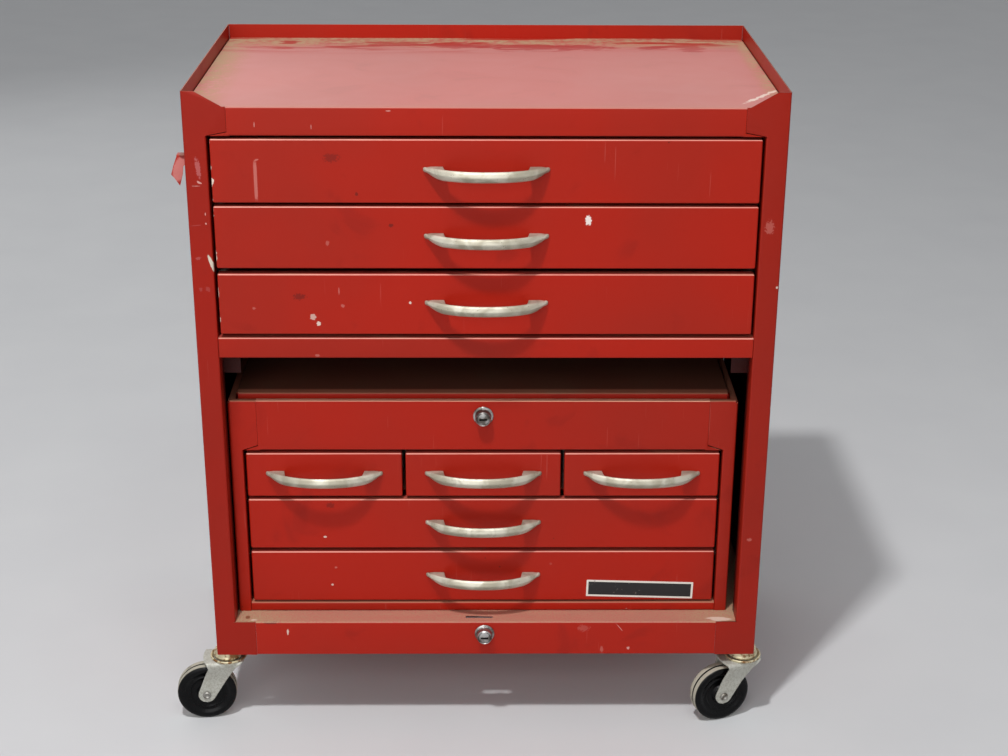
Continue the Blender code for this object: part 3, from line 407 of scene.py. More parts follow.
@dataclass(frozen=True)
class RedPaint:
    """Old red stove enamel on sheet metal: semi-gloss, chalky in places, chipped, scratched and dusty, with
    painted shade, painted highlights on its folds and a painted sheen where it faces up.
    """

    name: str
    dust: Dust = Dust.EDGES
    marks: tuple[Mark, ...] = ()
    chips: float = 0.05
    scratches: float = 0.5
    seed: float = 0.0
    # A whole-sheet painted shade keeps this share of the colour (1.0 for none); inner_shade is the strength
    # of painted shade on the inner faces.
    lit_share: float = 1.0
    inner_shade: float = 0.0
    front: float = 0.0
    worn_edge: float | None = None
    shade_from: float = 0.010
    mark_depth: float = 0.003

    INNER_HALF = 0.3294
    INNER_DEPTH = 0.3794
    DECK_UNDER = 0.6824
    LID_LEVEL = 0.3315
    RAIL_LEVEL = 0.40
    DECK_HALF = 0.327
    DECK_DEPTH = 0.377
    SHARP = 0.0004
    FRESH = srgb(171, 30, 12)
    WORN = srgb(158, 34, 19)
    DEEP = srgb(134, 24, 14)
    SMEAR = srgb(196, 104, 92)
    PRIMER = srgb(226, 205, 190)
    DIRT = srgb(176, 150, 118)
    # Pale dust together with painted sheen, on faces that look up.
    DUST_SHEEN = srgb(210, 164, 156)
    # Fold colours: painted highlight with paint rubbed thin; the ledge's is brighter.
    FOLD_HIGHLIGHT_WEAR = srgb(248, 186, 168)
    LEDGE_HIGHLIGHT_WEAR = srgb(255, 198, 166)
    GRIME = srgb(74, 30, 22)
    # The colour of painted shade.
    SHADED = srgb(14, 5, 4)

    def material(self, origin: Vector) -> bpy.types.Material:
        """Builds the paint.

        Args:
            origin: The cabinet's origin in the row's frame.

        Returns:
            The material.
        """
        painter = Painter(self.name, origin - Vector((self.seed, 0, 0)))
        painter.x = painter.x - self.seed
        _, _, up = painter.facing()
        broad = painter.noise(3.1, 3.0)
        patch = painter.noise(17.0, 4.0, distortion=0.6)
        grain = painter.noise(420.0, 3.0)
        colour = painter.mix(broad.rise(0.35, 0.68), self.FRESH, self.WORN)
        colour = painter.mix(patch.rise(0.60, 0.74) * 0.35, colour, self.DEEP)
        pits = painter.specks(60.0, 0.075, 0.10)
        colour = painter.mix(pits * 0.7, colour, self.GRIME)
        chipped = painter.specks(38.0, 0.085, self.chips) * grain.rise(0.30, 0.42)
        colour = painter.mix(chipped, colour, self.PRIMER)
        fine = self._scratched(painter)
        colour = painter.mix(fine * 0.5, colour, self.SMEAR)
        # Painted shade: the whole sheet is darkened towards SHADED, keeping its set share of the colour.
        colour = painter.mix(1 - self.lit_share, colour, self.SHADED)
        outer = (painter.y - self.front).rise(self.mark_depth + 0.002, self.mark_depth)
        colour = self._marked(painter, colour, grain, outer, False)
        if self.worn_edge is not None:
            reach = 0.0003 + 0.0018 * painter.noise(95.0, 4.0).rise(0.50, 0.72)
            bare = (reach - (painter.x - self.worn_edge)).rise(0.0, 0.0003)
            bare = bare * (painter.y - self.front).rise(0.0016, 0.0008)
            colour = painter.mix(bare * 0.8, colour, self.PRIMER)
        # Dust with painted sheen is laid on faces that look up, then the dirt.
        dirt, dust_and_sheen = self._dirt(painter, patch, grain)
        colour = painter.mix(dust_and_sheen, colour, self.DUST_SHEEN)
        colour = painter.mix(dirt, colour, self.DIRT)
        drawn = painter.noise(1.0, 5.0, painter.stretched((22.0, 110.0, 60.0)), 1.2)
        colour = self._marked(painter, colour, drawn, up.rise(0.5, 0.8), True)
        # Painted highlight, with paint rubbed thin, along the up-facing front folds.
        if self.dust in (Dust.EDGES, Dust.LEDGE):
            lip = self.LEDGE_HIGHLIGHT_WEAR if self.dust is Dust.LEDGE else self.FOLD_HIGHLIGHT_WEAR
            colour = painter.mix(self._lip_highlight_and_wear(painter, up), colour, lip)
        # Painted shade: the compartment's inner faces and the lid's top are darkened towards SHADED.
        colour = painter.mix(self._painted_shade_mask(painter, up) * self.inner_shade, colour, self.SHADED)
        smoothness = 0.30 + 0.14 * patch + 0.10 * broad + fine * 0.15
        roughness = smoothness + (dirt * 0.45).at_most(0.45) + dust_and_sheen * 0.02
        ripples = painter.noise(7.0, 1.0)
        peel = painter.noise(650.0, 2.0)
        normal = painter.bumped((ripples, 0.0011), (peel, 0.000018), (1 - chipped, 0.00008),
                                (dirt * grain, 0.00025))
        return painter.finish(colour, roughness, 0.0, normal, Specular_IOR_Level=0.18)

    def _marked(self, painter: Painter, colour: Value, grain: Value, where: Value, flat: bool) -> Value:
        """Lays the marks of one kind over a colour.

        Args:
            painter: The material's painter.
            colour: The colour below.
            grain: Noise that breaks the marks' edges.
            where: 1 on the faces that may carry them.
            flat: Whether the marks on the faces that lie flat are meant.

        Returns:
            The marked colour.
        """
        for mark in self.marks:
            if mark.flat == flat:
                colour = painter.mix(mark.mask(painter, grain) * where, colour, mark.colour)
        return colour

    def _painted_shade_mask(self, painter: Painter, up: Value) -> Value:
        """Painted shade on the open compartment's inner faces and on the chest lid's top, behind its front
        strip.

        Args:
            painter: The material's painter.
            up: The normal's upward part.

        Returns:
            1 where the painted shade falls: the inner faces, well behind the front, and the lid's top.
        """
        behind = painter.y.rise(self.shade_from, self.shade_from + 0.016)
        behind = behind * (self.INNER_DEPTH - painter.y).rise(0.0, self.SHARP)
        between = (self.INNER_HALF - abs(painter.x)).rise(0.0, self.SHARP)
        below = (self.DECK_UNDER - painter.z).rise(0.0, 0.0003)
        lid_top = up.rise(0.6, 0.9) * painter.z.rise(self.LID_LEVEL, self.LID_LEVEL + 0.0007)
        lid_top = lid_top * (self.RAIL_LEVEL - painter.z).rise(0.0, 0.01)
        lid_top = lid_top * painter.y.rise(self.shade_from, self.shade_from + 0.006)
        return (behind.at_least(lid_top) * between * below).at_most(1.0)

    def _scratched(self, painter: Painter) -> Value:
        """Thin straight scratches in three directions.

        Args:
            painter: The material's painter.

        Returns:
            1 on the scratches.
        """
        total = None
        for turn, limit in ((0.35, 0.735), (-0.6, 0.745), (1.3, 0.74)):
            vector = painter.stretched((420.0, 420.0, 12.0), (0, turn, 0))
            line = painter.noise(1.0, 1.0, vector).rise(limit, limit + 0.03)
            total = line if total is None else total.at_least(line)
        gate = painter.noise(9.0, 2.0).rise(0.50, 0.62)
        return total * gate * self.scratches

    def _dirt(self, painter: Painter, patch: Value, grain: Value) -> tuple[Value, Value]:
        """Dust that lies on what faces up, and a pale layer of dust and painted sheen on up-facing faces,
        strongest on the deck.

        Args:
            painter: The material's painter.
            patch, grain: Coarse and fine noise.

        Returns:
            The dirt, and the dust with painted sheen.
        """
        _, _, up = painter.facing()
        lying = up.rise(0.25, 0.75)
        streaks = painter.noise(1.0, 4.0, painter.stretched((5.0, 34.0, 30.0)), 1.2)
        if self.dust is Dust.DECK:
            left = (painter.x + self.DECK_HALF).rise(0.048, 0.004)
            right = (self.DECK_HALF - painter.x).rise(0.020, 0.002)
            side = left.at_least(right)
            rear = (self.DECK_DEPTH - painter.y).rise(0.074, 0.022)
            front = painter.y.rise(0.022, 0.0) * 0.12
            corner = (side * rear).at_least(0.0)
            edge = (side * 0.85).at_least(rear * 0.80).at_least(corner)
            worn = (painter.y.rise(0.27, 0.325) * streaks.rise(0.50, 0.60)) * 0.9
            crust = painter.noise(130.0, 4.0)
            dirt = edge * (patch * 0.6 + crust * 0.7 + grain * 0.3).rise(0.58, 0.92) * (1 - worn)
            spots = painter.specks(26.0, 0.05, 0.16) * 0.8
            dirt = (dirt + front + spots).at_most(1.0) * lying
            # Dust with painted sheen on the deck, less where it is worn and towards the rear.
            dust_and_sheen = lying * (0.30 + 0.28 * painter.noise(2.3, 2.0)) * (1 - worn) * (1 - 0.55 * rear)
            return dirt, dust_and_sheen
        if self.dust is Dust.SILL:
            ends = (0.305 - abs(painter.x)).rise(0.10, 0.0) * 0.5
            dirt = lying * (0.16 + streaks * 0.62 + ends).at_most(1.0) * grain.rise(0.22, 0.60)
            return dirt, lying * 0.34
        if self.dust is Dust.SHADE:
            return lying * (0.22 + patch * 0.35), lying * 0.06
        near = (painter.y - self.front).rise(0.030, 0.008)
        return lying * near * (0.03 + 0.25 * streaks.rise(0.50, 0.66)), lying * near * 0.10

    def _lip_highlight_and_wear(self, painter: Painter, up: Value) -> Value:
        """The pale line on a fold's up-facing front edge, just behind the front: painted highlight together
        with paint rubbed thin.

        Args:
            painter: The material's painter.
            up: The normal's upward part.

        Returns:
            How strong the painted highlight and the rubbed paint are.
        """
        depth = painter.y - self.front
        # How strong the painted highlight and the rubbed paint are, patchy along the fold.
        wear = (0.80 if self.dust is Dust.LEDGE else 0.48) + 0.42 * painter.noise(24.0, 3.0)
        line = depth.rise(0.0020, 0.0009)
        if self.dust is Dust.LEDGE:
            line = (line * 0.8).at_least(depth.rise(0.0034, 0.0042))
        return line * up.rise(0.35, 0.8) * wear


@dataclass(frozen=True)
class CastMetal:
    """Die-cast pull with its plating worn to a dull grey-gold."""

    name: str = "worn_cast_metal"
    BRIGHT = srgb(196, 192, 176)
    DULL = srgb(160, 154, 136)
    PITTED = srgb(104, 96, 80)

    def material(self, origin: Vector) -> bpy.types.Material:
        """Builds the metal from broad tarnish, small pits and lengthwise rubbing."""
        painter = Painter(self.name, origin)
        tarnish = painter.noise(38.0, 4.0, distortion=0.8)
        rubbed = painter.noise(1.0, 2.0, painter.stretched((60.0, 900.0, 900.0)))
        pits = painter.specks(420.0, 0.28, 0.22)
        colour = painter.mix(tarnish.rise(0.36, 0.62), self.BRIGHT, self.DULL)
        colour = painter.mix(pits * 0.6, colour, self.PITTED)
        roughness = 0.36 + 0.22 * tarnish + 0.10 * rubbed + 0.15 * pits
        normal = painter.bumped((tarnish, 0.0006), (rubbed, 0.00004), (1 - pits, 0.00006))
        return painter.finish(colour, roughness, 0.55, normal)


@dataclass(frozen=True)
class Plated:
    """Plated steel with a fine grain and stained patches, and painted shade in a keyway where one is given.
    """

    name: str
    bright: Colour
    stained: Colour
    rough: float = 0.34
    stain_share: float = 0.4
    metallic: float = 0.9
    stain_scale: float = 75.0
    keyway: tuple[float, float, float, float] | None = None
    KEYWAY_SHADE = srgb(16, 14, 12)

    def material(self, origin: Vector) -> bpy.types.Material:
        """Builds the plating from stains, spangle and fine grain, with painted shade in the keyway."""
        painter = Painter(self.name, origin)
        stain = painter.noise(self.stain_scale, 4.0, distortion=0.9)
        spangle = painter.noise(260.0, 2.0)
        edge = 0.62 - self.stain_share * 0.35
        colour = painter.mix(stain.rise(edge, edge + 0.16), self.bright, self.stained)
        # Painted shade: the keyway's slot is darkened to near black.
        if self.keyway is not None:
            x, z, half_width, half_height = self.keyway
            within = (half_width - abs(painter.x - x)).rise(-0.0002, 0.0001)
            colour = painter.mix(within * (half_height - abs(painter.z - z)).rise(-0.0002, 0.0001), colour,
                                 self.KEYWAY_SHADE)
        roughness = self.rough + 0.16 * stain + 0.08 * spangle
        normal = painter.bumped((stain, 0.0002), (spangle, 0.00004))
        return painter.finish(colour, roughness, self.metallic, normal)


@dataclass(frozen=True)
class HardRubber:
    """Black moulded rubber whose tread is scuffed to a dusty beige."""

    name: str = "black_hard_rubber"
    BLACK = srgb(4, 4, 5)
    GREY = srgb(11, 10, 11)
    SCUFF = srgb(184, 178, 162)

    def material(self, origin: Vector) -> bpy.types.Material:
        """Builds the rubber; the piece's own attribute says where its tread is."""
        painter = Painter(self.name, origin)
        tread = painter.node("ShaderNodeAttribute", {"attribute_name": "tread"}, output="Fac")
        cloud = painter.noise(85.0, 4.0)
        grain = painter.noise(900.0, 2.0)
        colour = painter.mix(cloud.rise(0.42, 0.75) * 0.6, self.BLACK, self.GREY)
        scuffed = tread * (cloud * 0.7 + grain * 0.5).rise(0.30, 0.56) * 0.9
        colour = painter.mix(scuffed, colour, self.SCUFF)
        dusty = painter.specks(230.0, 0.12, 0.05) * 0.25
        colour = painter.mix(dusty, colour, self.SCUFF)
        roughness = 0.22 + 0.12 * cloud + 0.45 * scuffed
        normal = painter.bumped((cloud, 0.0003), (grain, 0.00004))
        return painter.finish(colour, roughness, 0.0, normal, Specular_IOR_Level=0.15)


@dataclass(frozen=True)
class BareLabel:
    """A blank printed plate: black with a pale border, slightly scuffed."""

    centre: tuple[float, float]
    half: tuple[float, float]
    border: float
    tilt: float
    name: str = "bare_label"

    def material(self, origin: Vector) -> bpy.types.Material:
        """Builds the plate; the border follows its tilted outline.

        Args:
            origin: The cabinet's origin in the row's frame.

        Returns:
            The material.
        """
        painter = Painter(self.name, origin)
        right = painter.x - self.centre[0]
        up = painter.z - self.centre[1]
        cosine, sine = math.cos(self.tilt), math.sin(self.tilt)
        across = abs(right * cosine + up * sine)
        along = abs(up * cosine - right * sine)
        edge = (across - (self.half[0] - self.border)).rise(-0.0002, 0.0002)
        edge = edge.at_least((along - (self.half[1] - self.border)).rise(-0.0002, 0.0002))
        wear = painter.noise(160.0, 4.0)
        colour = painter.mix(edge, srgb(18, 17, 18), srgb(228, 222, 212))
        colour = painter.mix(wear.rise(0.64, 0.72) * 0.5, colour, srgb(120, 112, 104))
        return painter.finish(colour, 0.36 + 0.2 * wear, 0.0, painter.bumped((wear, 0.00005)))


def mesh_object(name: str, vertices: np.ndarray, faces: Sequence[Sequence[int]],
                smooth_below: float = 40.0) -> bpy.types.Object:
    """Makes a piece from arrays.

    Args:
        name: The piece's name.
        vertices: Points, one row each, in the row's frame.
        faces: Corner indices of each face.
        smooth_below: Edges that turn by less, in degrees, are shaded smooth.

    Returns:
        The linked object.
    """
    mesh = bpy.data.meshes.new(name)
    mesh.from_pydata(vertices.tolist(), [], [list(map(int, face)) for face in faces])
    mesh.validate()
    made = bpy.data.objects.new(name, mesh)
    bpy.context.scene.collection.objects.link(made)
    settle(made, smooth_below)
    return made


def settle(piece: bpy.types.Object, smooth_below: float = 40.0) -> None:
    """Turns the faces outwards and shades the piece smooth except at its sharp edges.

    Args:
        piece: The piece.
        smooth_below: Edges that turn by less, in degrees, are shaded smooth.
    """
    bm = bmesh.new()
    bm.from_mesh(piece.data)
    bmesh.ops.remove_doubles(bm, verts=bm.verts, dist=1e-6)
    bm.normal_update()
    bmesh.ops.recalc_face_normals(bm, faces=bm.faces)
    bm.to_mesh(piece.data)
    bm.free()
    piece.data.shade_smooth()
    piece.data.set_sharp_from_angle(angle=math.radians(smooth_below))


def grid_faces(rows: int, columns: int, wrap: bool) -> np.ndarray:
    """Quads of a grid of points.

    Args:
        rows: Points down the grid.
        columns: Points across it.
        wrap: Whether the last column joins the first.

    Returns:
        Four indices for each quad.
    """
    spans = columns if wrap else columns - 1
    row, column = np.meshgrid(np.arange(rows - 1), np.arange(spans), indexing="ij")
    after = (column + 1) % columns
    quads = np.stack([row * columns + column, row * columns + after,
                      (row + 1) * columns + after, (row + 1) * columns + column], axis=-1)
    return quads.reshape(-1, 4)


def tube_faces(rows: int, columns: int) -> list[Sequence[int]]:
    """Quads of a closed tube of rings, with a face over each end."""
    faces = [tuple(quad) for quad in grid_faces(rows, columns, True)]
    faces.append(tuple(range(columns)))
    faces.append(tuple(range((rows - 1) * columns, rows * columns))[::-1])
    return faces


def turned(name: str, profile: Sequence[tuple[float, float]], place: Matrix, segments: int = 64,
           smooth_below: float = 40.0) -> bpy.types.Object:
    """A body of revolution: each profile point runs round the axis on a circle of its own radius.

    Args:
        name: The piece's name.
        profile: Radius and height along the axis, from one end to the other.
        place: Sends the Z axis to the piece's own axis.
        segments: Points round each circle.
        smooth_below: Edges that turn by less, in degrees, are shaded smooth.

    Returns:
        The piece.
    """
    outline = np.array(profile, float)
    angle = np.linspace(0, 2 * np.pi, segments, endpoint=False)
    rings = np.stack([outline[:, :1] * np.cos(angle), outline[:, :1] * np.sin(angle),
                      np.repeat(outline[:, 1:], segments, axis=1)], axis=-1)
    made = mesh_object(name, carried(rings.reshape(-1, 3), place), tube_faces(len(outline), segments),
                       smooth_below)
    return made


def carried(points: np.ndarray, place: Matrix) -> np.ndarray:
    """Takes points through a placement matrix."""
    matrix = np.array(place)
    return points @ matrix[:3, :3].T + matrix[:3, 3]


def eased(profile: Sequence[tuple[float, float]], radius: float, steps: int = 4) -> list[tuple[float, float]]:
    """Rounds the corners of an open outline: each corner is swapped for a quadratic curve whose ends lie
    on the two edges, at most the radius away.

    Args:
        profile: The outline's points.
        radius: How far along each edge the curve reaches.
        steps: Points on each curve.

    Returns:
        The rounded outline.
    """
    points = [np.array(point, float) for point in profile]
    rounded = [points[0]]
    share = np.linspace(0, 1, steps)[:, None]
    for before, corner, after in zip(points, points[1:], points[2:]):
        into, out = before - corner, after - corner
        reach_in = min(radius, np.linalg.norm(into) * 0.45)
        reach_out = min(radius, np.linalg.norm(out) * 0.45)
        start = corner + into / np.linalg.norm(into) * reach_in
        end = corner + out / np.linalg.norm(out) * reach_out
        rounded.extend((1 - share) ** 2 * start + 2 * share * (1 - share) * corner + share ** 2 * end)
    rounded.append(points[-1])
    return [tuple(point) for point in rounded]


@dataclass
class Workshop:
    """What every sub-assembly needs: the frame, the cabinet's origin and the finishes in use."""

    frame: dict
    origin: Vector = field(init=False)
    finishes: dict = field(default_factory=dict)

    def __post_init__(self) -> None:
        """Finds the cabinet's origin from its sheets."""
        back_low, back_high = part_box("cabinet_back")
        side_low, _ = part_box("cabinet_left_side")
        self.origin = Vector(((back_low.x + back_high.x) / 2, side_low.y, side_low.z))

    def at(self, x: float, y: float, z: float) -> Vector:
        """A place in the cabinet's frame, in the row's frame."""
        return self.origin + Vector((x, y, z))

    def paint(self, piece: bpy.types.Object, finish: object) -> None:
        """Gives a piece a finish, which is built once.

        Args:
            piece: The piece.
            finish: A finish with a name and a material method.
        """
        if finish.name not in self.finishes:
            self.finishes[finish.name] = finish.material(self.origin)
        piece.data.materials.clear()
        piece.data.materials.append(self.finishes[finish.name])

    def refined(self, node: str, finish: object, slot: str, smooth_below: float = 50.0) -> bpy.types.Object:
        """Stands a smooth-shaded copy in for a CAD solid, whose folds then read as round.

        Args:
            node: The CAD node.
            finish: The copy's finish.
            slot: The record's material slot; not used.
            smooth_below: Edges that turn by less, in degrees, are shaded smooth.

        Returns:
            The copy.
        """
        source = self.frame["nodes"][node]
        made = bpy.data.objects.new(node + "_dressed", source.data.copy())
        bpy.context.scene.collection.objects.link(made)
        bm = bmesh.new()
        bm.from_mesh(made.data)
        bmesh.ops.remove_doubles(bm, verts=bm.verts, dist=1e-6)
        bm.to_mesh(made.data)
        bm.free()
        made.data.shade_smooth()
        made.data.set_sharp_from_angle(angle=math.radians(smooth_below))
        flat = made.modifiers.new("flat_faces", "WEIGHTED_NORMAL")
        flat.keep_sharp = True
        flat.weight = 100
        self.fit(made, node, slot, finish)
        return made

    def fit(self, piece: bpy.types.Object, node: str, slot: str, finish: object) -> None:
        """Rides a piece on its CAD node's body and lets it replace the node.

        Args:
            piece: The piece.
            node: The CAD node that it stands for.
            slot: The record's material slot; not used.
            finish: The piece's finish.
        """
        self.paint(piece, finish)
        body = self.frame["nodes"][node]["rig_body"]
        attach(piece, body)
        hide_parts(node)
        log.info("%s stands for %s on %s", piece.name, node, body)


PALE = srgb(226, 205, 190)
BONE = srgb(214, 204, 186)
PINK = srgb(196, 112, 102)
DULL_PINK = srgb(182, 96, 94)
SOFT_PINK = srgb(222, 170, 160)
STAIN = srgb(104, 26, 20)
RUST = srgb(120, 66, 40)
SCRAPED = srgb(160, 42, 38)
REFLECTED_PINK = srgb(198, 118, 112)


@dataclass
class Cabinet:
    """The roller cabinet's sheets, its bracket and its runner panels."""

    shop: Workshop
    left_marks: tuple[Mark, ...] = (
        Mark(-0.3156, 0.6146, 0.0027, 0.0125, DULL_PINK, 0.75, 0.9, 0.10),
        Mark(-0.3150, 0.5985, 0.0034, 0.0012, SOFT_PINK, 0.7, 0.8, -0.5),
        Mark(-0.3190, 0.5947, 0.0050, 0.0005, SOFT_PINK, 0.5, 0.5),
        Mark(-0.3067, 0.5045, 0.0023, 0.0130, BONE, 0.95, 0.35, 0.33),
        Mark(-0.3105, 0.5516, 0.0009, 0.0012, SOFT_PINK, 0.8, 0.8),
        Mark(-0.3105, 0.5627, 0.0006, 0.0018, SOFT_PINK, 0.7, 0.8),
        Mark(-0.3215, 0.5496, 0.0070, 0.0004, DULL_PINK, 0.5, 0.5, 0.10),
        Mark(-0.3215, 0.5112, 0.0032, 0.0018, DULL_PINK, 0.45, 0.9),
        Mark(-0.3210, 0.4747, 0.0020, 0.0030, DULL_PINK, 0.30, 0.9),
        Mark(-0.3130, 0.4747, 0.0028, 0.0030, DULL_PINK, 0.30, 0.9),
    )
    right_marks: tuple[Mark, ...] = (
        Mark(0.3150, 0.5480, 0.0052, 0.0080, PINK, 0.45, 1.1),
        Mark(0.3150, 0.1580, 0.0030, 0.0024, PINK, 0.55, 0.8),
    )
    sill_marks: tuple[Mark, ...] = (
        Mark(-0.2420, 0.0320, 0.0014, 0.0040, PALE, 0.8, 0.9),
        Mark(0.1190, 0.0370, 0.0080, 0.0045, PINK, 0.30, 1.2),
        Mark(0.1420, 0.0070, 0.0022, 0.0050, PINK, 0.5, 0.9),
        Mark(-0.2620, 0.0450, 0.0100, 0.0020, STAIN, 0.8, 0.7),
        Mark(0.1630, 0.0380, 0.0070, 0.0005, SOFT_PINK, 0.6, 0.5, -0.9),
        Mark(0.1745, 0.0088, 0.0020, 0.0020, SOFT_PINK, 0.7, 0.8),
        Mark(-0.2915, 0.0130, 0.0040, 0.0050, RUST, 0.8, 1.0, 0.0, True),
        Mark(-0.2830, 0.0060, 0.0060, 0.0022, PALE, 0.7, 1.2, 0.0, True),
        Mark(0.2860, 0.0070, 0.0150, 0.0050, PALE, 0.7, 1.2, 0.0, True),
    )
    deck_marks: tuple[Mark, ...] = (
        Mark(-0.2518, 0.6633, 0.0005, 0.0035, SOFT_PINK, 0.6, 0.6),
        Mark(-0.1903, 0.6612, 0.0005, 0.0028, SOFT_PINK, 0.5, 0.6),
        Mark(-0.1065, 0.6790, 0.0030, 0.0008, SOFT_PINK, 0.5, 0.6),
        Mark(-0.2490, 0.3500, 0.0150, 0.0110, SCRAPED, 0.85, 1.3, 0.0, True),
        Mark(-0.1210, 0.3450, 0.0440, 0.0130, SCRAPED, 0.75, 1.6, 0.0, True),
        Mark(-0.2280, 0.3160, 0.0850, 0.0040, SCRAPED, 0.55, 1.2, 0.0, True),
        Mark(-0.0300, 0.3300, 0.0540, 0.0170, SCRAPED, 0.80, 1.6, 0.0, True),
        Mark(0.0750, 0.3200, 0.0880, 0.0190, SCRAPED, 0.85, 1.6, 0.0, True),
        Mark(0.2060, 0.3180, 0.0230, 0.0100, SCRAPED, 0.75, 1.5, 0.0, True),
        Mark(0.2560, 0.3150, 0.0180, 0.0210, SCRAPED, 0.65, 1.4, 0.0, True),
        Mark(0.3060, 0.0560, 0.0430, 0.0030, PALE, 0.85, 1.3, 0.957, True),
    )
    # Painted reflection on the bracket's front face, and painted shade in the stain colour under its top.
    bracket_marks: tuple[Mark, ...] = (
        Mark(-0.3372, 0.6110, 0.0080, 0.0165, REFLECTED_PINK, 0.92, 0.15, -0.35),
        Mark(-0.3325, 0.6290, 0.0058, 0.0075, STAIN, 0.85, 0.1),
    )

    def build(self) -> None:
        """Dresses the cabinet's own sheets."""
        paints = {
            # Painted shade: the sides keep 0.81 and 0.84 of their colour, and the inner faces of sides, back
            # and shelf are darkened towards SHADED.
            "cabinet_left_side": RedPaint("paint_left_side", Dust.SHADE, self.left_marks, 0.07, 0.7, 0.31,
                                          0.81, 0.85),
            "cabinet_right_side": RedPaint("paint_right_side", Dust.SHADE, self.right_marks, 0.05, 0.6, 0.83,
                                           0.84, 0.85),
            "cabinet_back": RedPaint("paint_back", Dust.SHADE, (), 0.05, 0.6, 1.7, 1.0, 0.92),
            "cabinet_deck": RedPaint("paint_deck", Dust.DECK, self.deck_marks, 0.04, 0.5, 0.0),
            "cabinet_shelf": RedPaint("paint_shelf", Dust.EDGES, (
                Mark(-0.1930, 0.3950, 0.0030, 0.0016, PINK, 0.6, 0.8),), 0.04, 0.5, 2.3, 1.0, 0.92),
            "cabinet_base": RedPaint("paint_base", Dust.SILL, self.sill_marks, 0.06, 0.8, 0.0),
            "cabinet_side_bracket": RedPaint("paint_bracket", Dust.EDGES, self.bracket_marks, 0.1, 0.8, 3.1,
                                            mark_depth=0.1),
        }
        for node, finish in paints.items():
            self.shop.refined(node, finish, "red_paint")
        plain = Plated("runner_zinc", srgb(176, 174, 166), srgb(128, 122, 108), 0.36, 0.3)
        for side in ("left", "right"):
            self.shop.refined("cabinet_runners_" + side, plain, "zinc")
            self.shop.refined("caster_angle_" + side,
                              RedPaint("paint_caster_angles", Dust.SHADE, (), 0.08, 0.6, 4.2), "red_paint")


@dataclass
class Drawers:
    """Drawers of the cabinet and of the chest."""

    shop: Workshop
    marks: dict[str, tuple[Mark, ...]] = field(default_factory=lambda: {
        "cabinet_drawer_top": (
            Mark(-0.2533, 0.6010, 0.0020, 0.0235, PINK, 0.78, 0.15, squareness=7.0),
            Mark(-0.2518, 0.6240, 0.0030, 0.0011, PINK, 0.7, 0.4, 0.4),
            Mark(-0.3010, 0.6003, 0.0020, 0.0040, PALE, 1.0, 1.0),
            Mark(-0.1700, 0.6270, 0.0090, 0.0050, STAIN, 0.55, 1.2),
            Mark(-0.1430, 0.5860, 0.0018, 0.0024, STAIN, 0.8, 0.6)),
        "cabinet_drawer_middle": (
            Mark(0.1130, 0.5560, 0.0036, 0.0062, srgb(236, 222, 214), 1.0, 0.7),
            Mark(-0.1060, 0.5500, 0.0028, 0.0022, STAIN, 0.8, 0.8),
            Mark(-0.1770, 0.5290, 0.0024, 0.0030, PINK, 0.45, 0.8)),
        "cabinet_drawer_bottom": (
            Mark(-0.2110, 0.4660, 0.0080, 0.0040, STAIN, 0.65, 1.2),
            Mark(-0.1960, 0.4420, 0.0034, 0.0042, PALE, 0.55, 1.0),
            Mark(-0.1900, 0.4340, 0.0026, 0.0028, PALE, 0.9, 0.8),
            Mark(-0.1660, 0.4730, 0.0008, 0.0048, PINK, 0.7, 0.5),
            Mark(-0.1620, 0.4550, 0.0022, 0.0022, PINK, 0.6, 0.8),
            Mark(-0.0860, 0.4590, 0.0014, 0.0018, PALE, 0.9, 0.6),
            Mark(-0.2620, 0.4520, 0.0024, 0.0016, PINK, 0.55, 0.8)),
        "chest_drawer_upper": (
            Mark(-0.1950, 0.1480, 0.0022, 0.0016, PALE, 0.8, 0.7),
            Mark(-0.1870, 0.1900, 0.0050, 0.0040, STAIN, 0.55, 1.2)),
        "chest_drawer_lower": (
            Mark(-0.1830, 0.1060, 0.0016, 0.0014, PINK, 0.7, 0.8),
            Mark(-0.1880, 0.0820, 0.0016, 0.0016, PALE, 0.7, 0.8)),
    })

    def build(self) -> None:
        """Dresses each drawer with its own marks."""
        names = [node for node in self.shop.frame["nodes"] if "_drawer_" in node]
        for node in sorted(names):
            low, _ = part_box(node)
            front = low.y - self.shop.origin.y
            edge = low.x - self.shop.origin.x if node.startswith("cabinet") else None
            finish = RedPaint("paint_" + node, Dust.EDGES, self.marks.get(node, ()), 0.035, 0.55, 0.0,
                              front=front, worn_edge=edge)
            self.shop.refined(node, finish, "red_paint")


@dataclass
class ChestShell:
    """The tool chest's sheets, dividers, runner panels, lid and hinge pin."""

    shop: Workshop
    painted: tuple[str, ...] = ("chest_left_side", "chest_right_side", "chest_back", "chest_header",
                                "chest_base", "chest_till_floor", "chest_mid_shelf", "chest_lid")
    # Depth of the lid's front strip that is left without painted shade.
    lid_strip: float = 0.009

    def build(self) -> None:
        """Dresses the chest."""
        for index, node in enumerate(self.painted):
            dust = Dust.LEDGE if node == "chest_header" else Dust.SHADE
            # Painted shade: the lid's top behind its front strip and the back's inner face are darkened, and
            # every chest sheet keeps 0.98 of its colour.
            shade = {"chest_lid": 0.70, "chest_back": 0.9}.get(node, 0.0)
            low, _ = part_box(node)
            front = low.y - self.shop.origin.y
            start = front + self.lid_strip if node == "chest_lid" else RedPaint.shade_from
            finish = RedPaint("paint_" + node, dust, (), 0.03, 0.5, 5.0 + index * 0.7, 0.98, shade, front,
                              shade_from=start)
            self.shop.refined(node, finish, "red_paint")
        plain = Plated("divider_zinc", srgb(170, 168, 160), srgb(120, 116, 104), 0.38, 0.3)
        for side in ("left", "right"):
            self.shop.refined("chest_runners_" + side, plain, "zinc")
            self.shop.refined("chest_divider_" + side, plain, "zinc")
        self.shop.refined("lid_hinge_pin", plain, "zinc")


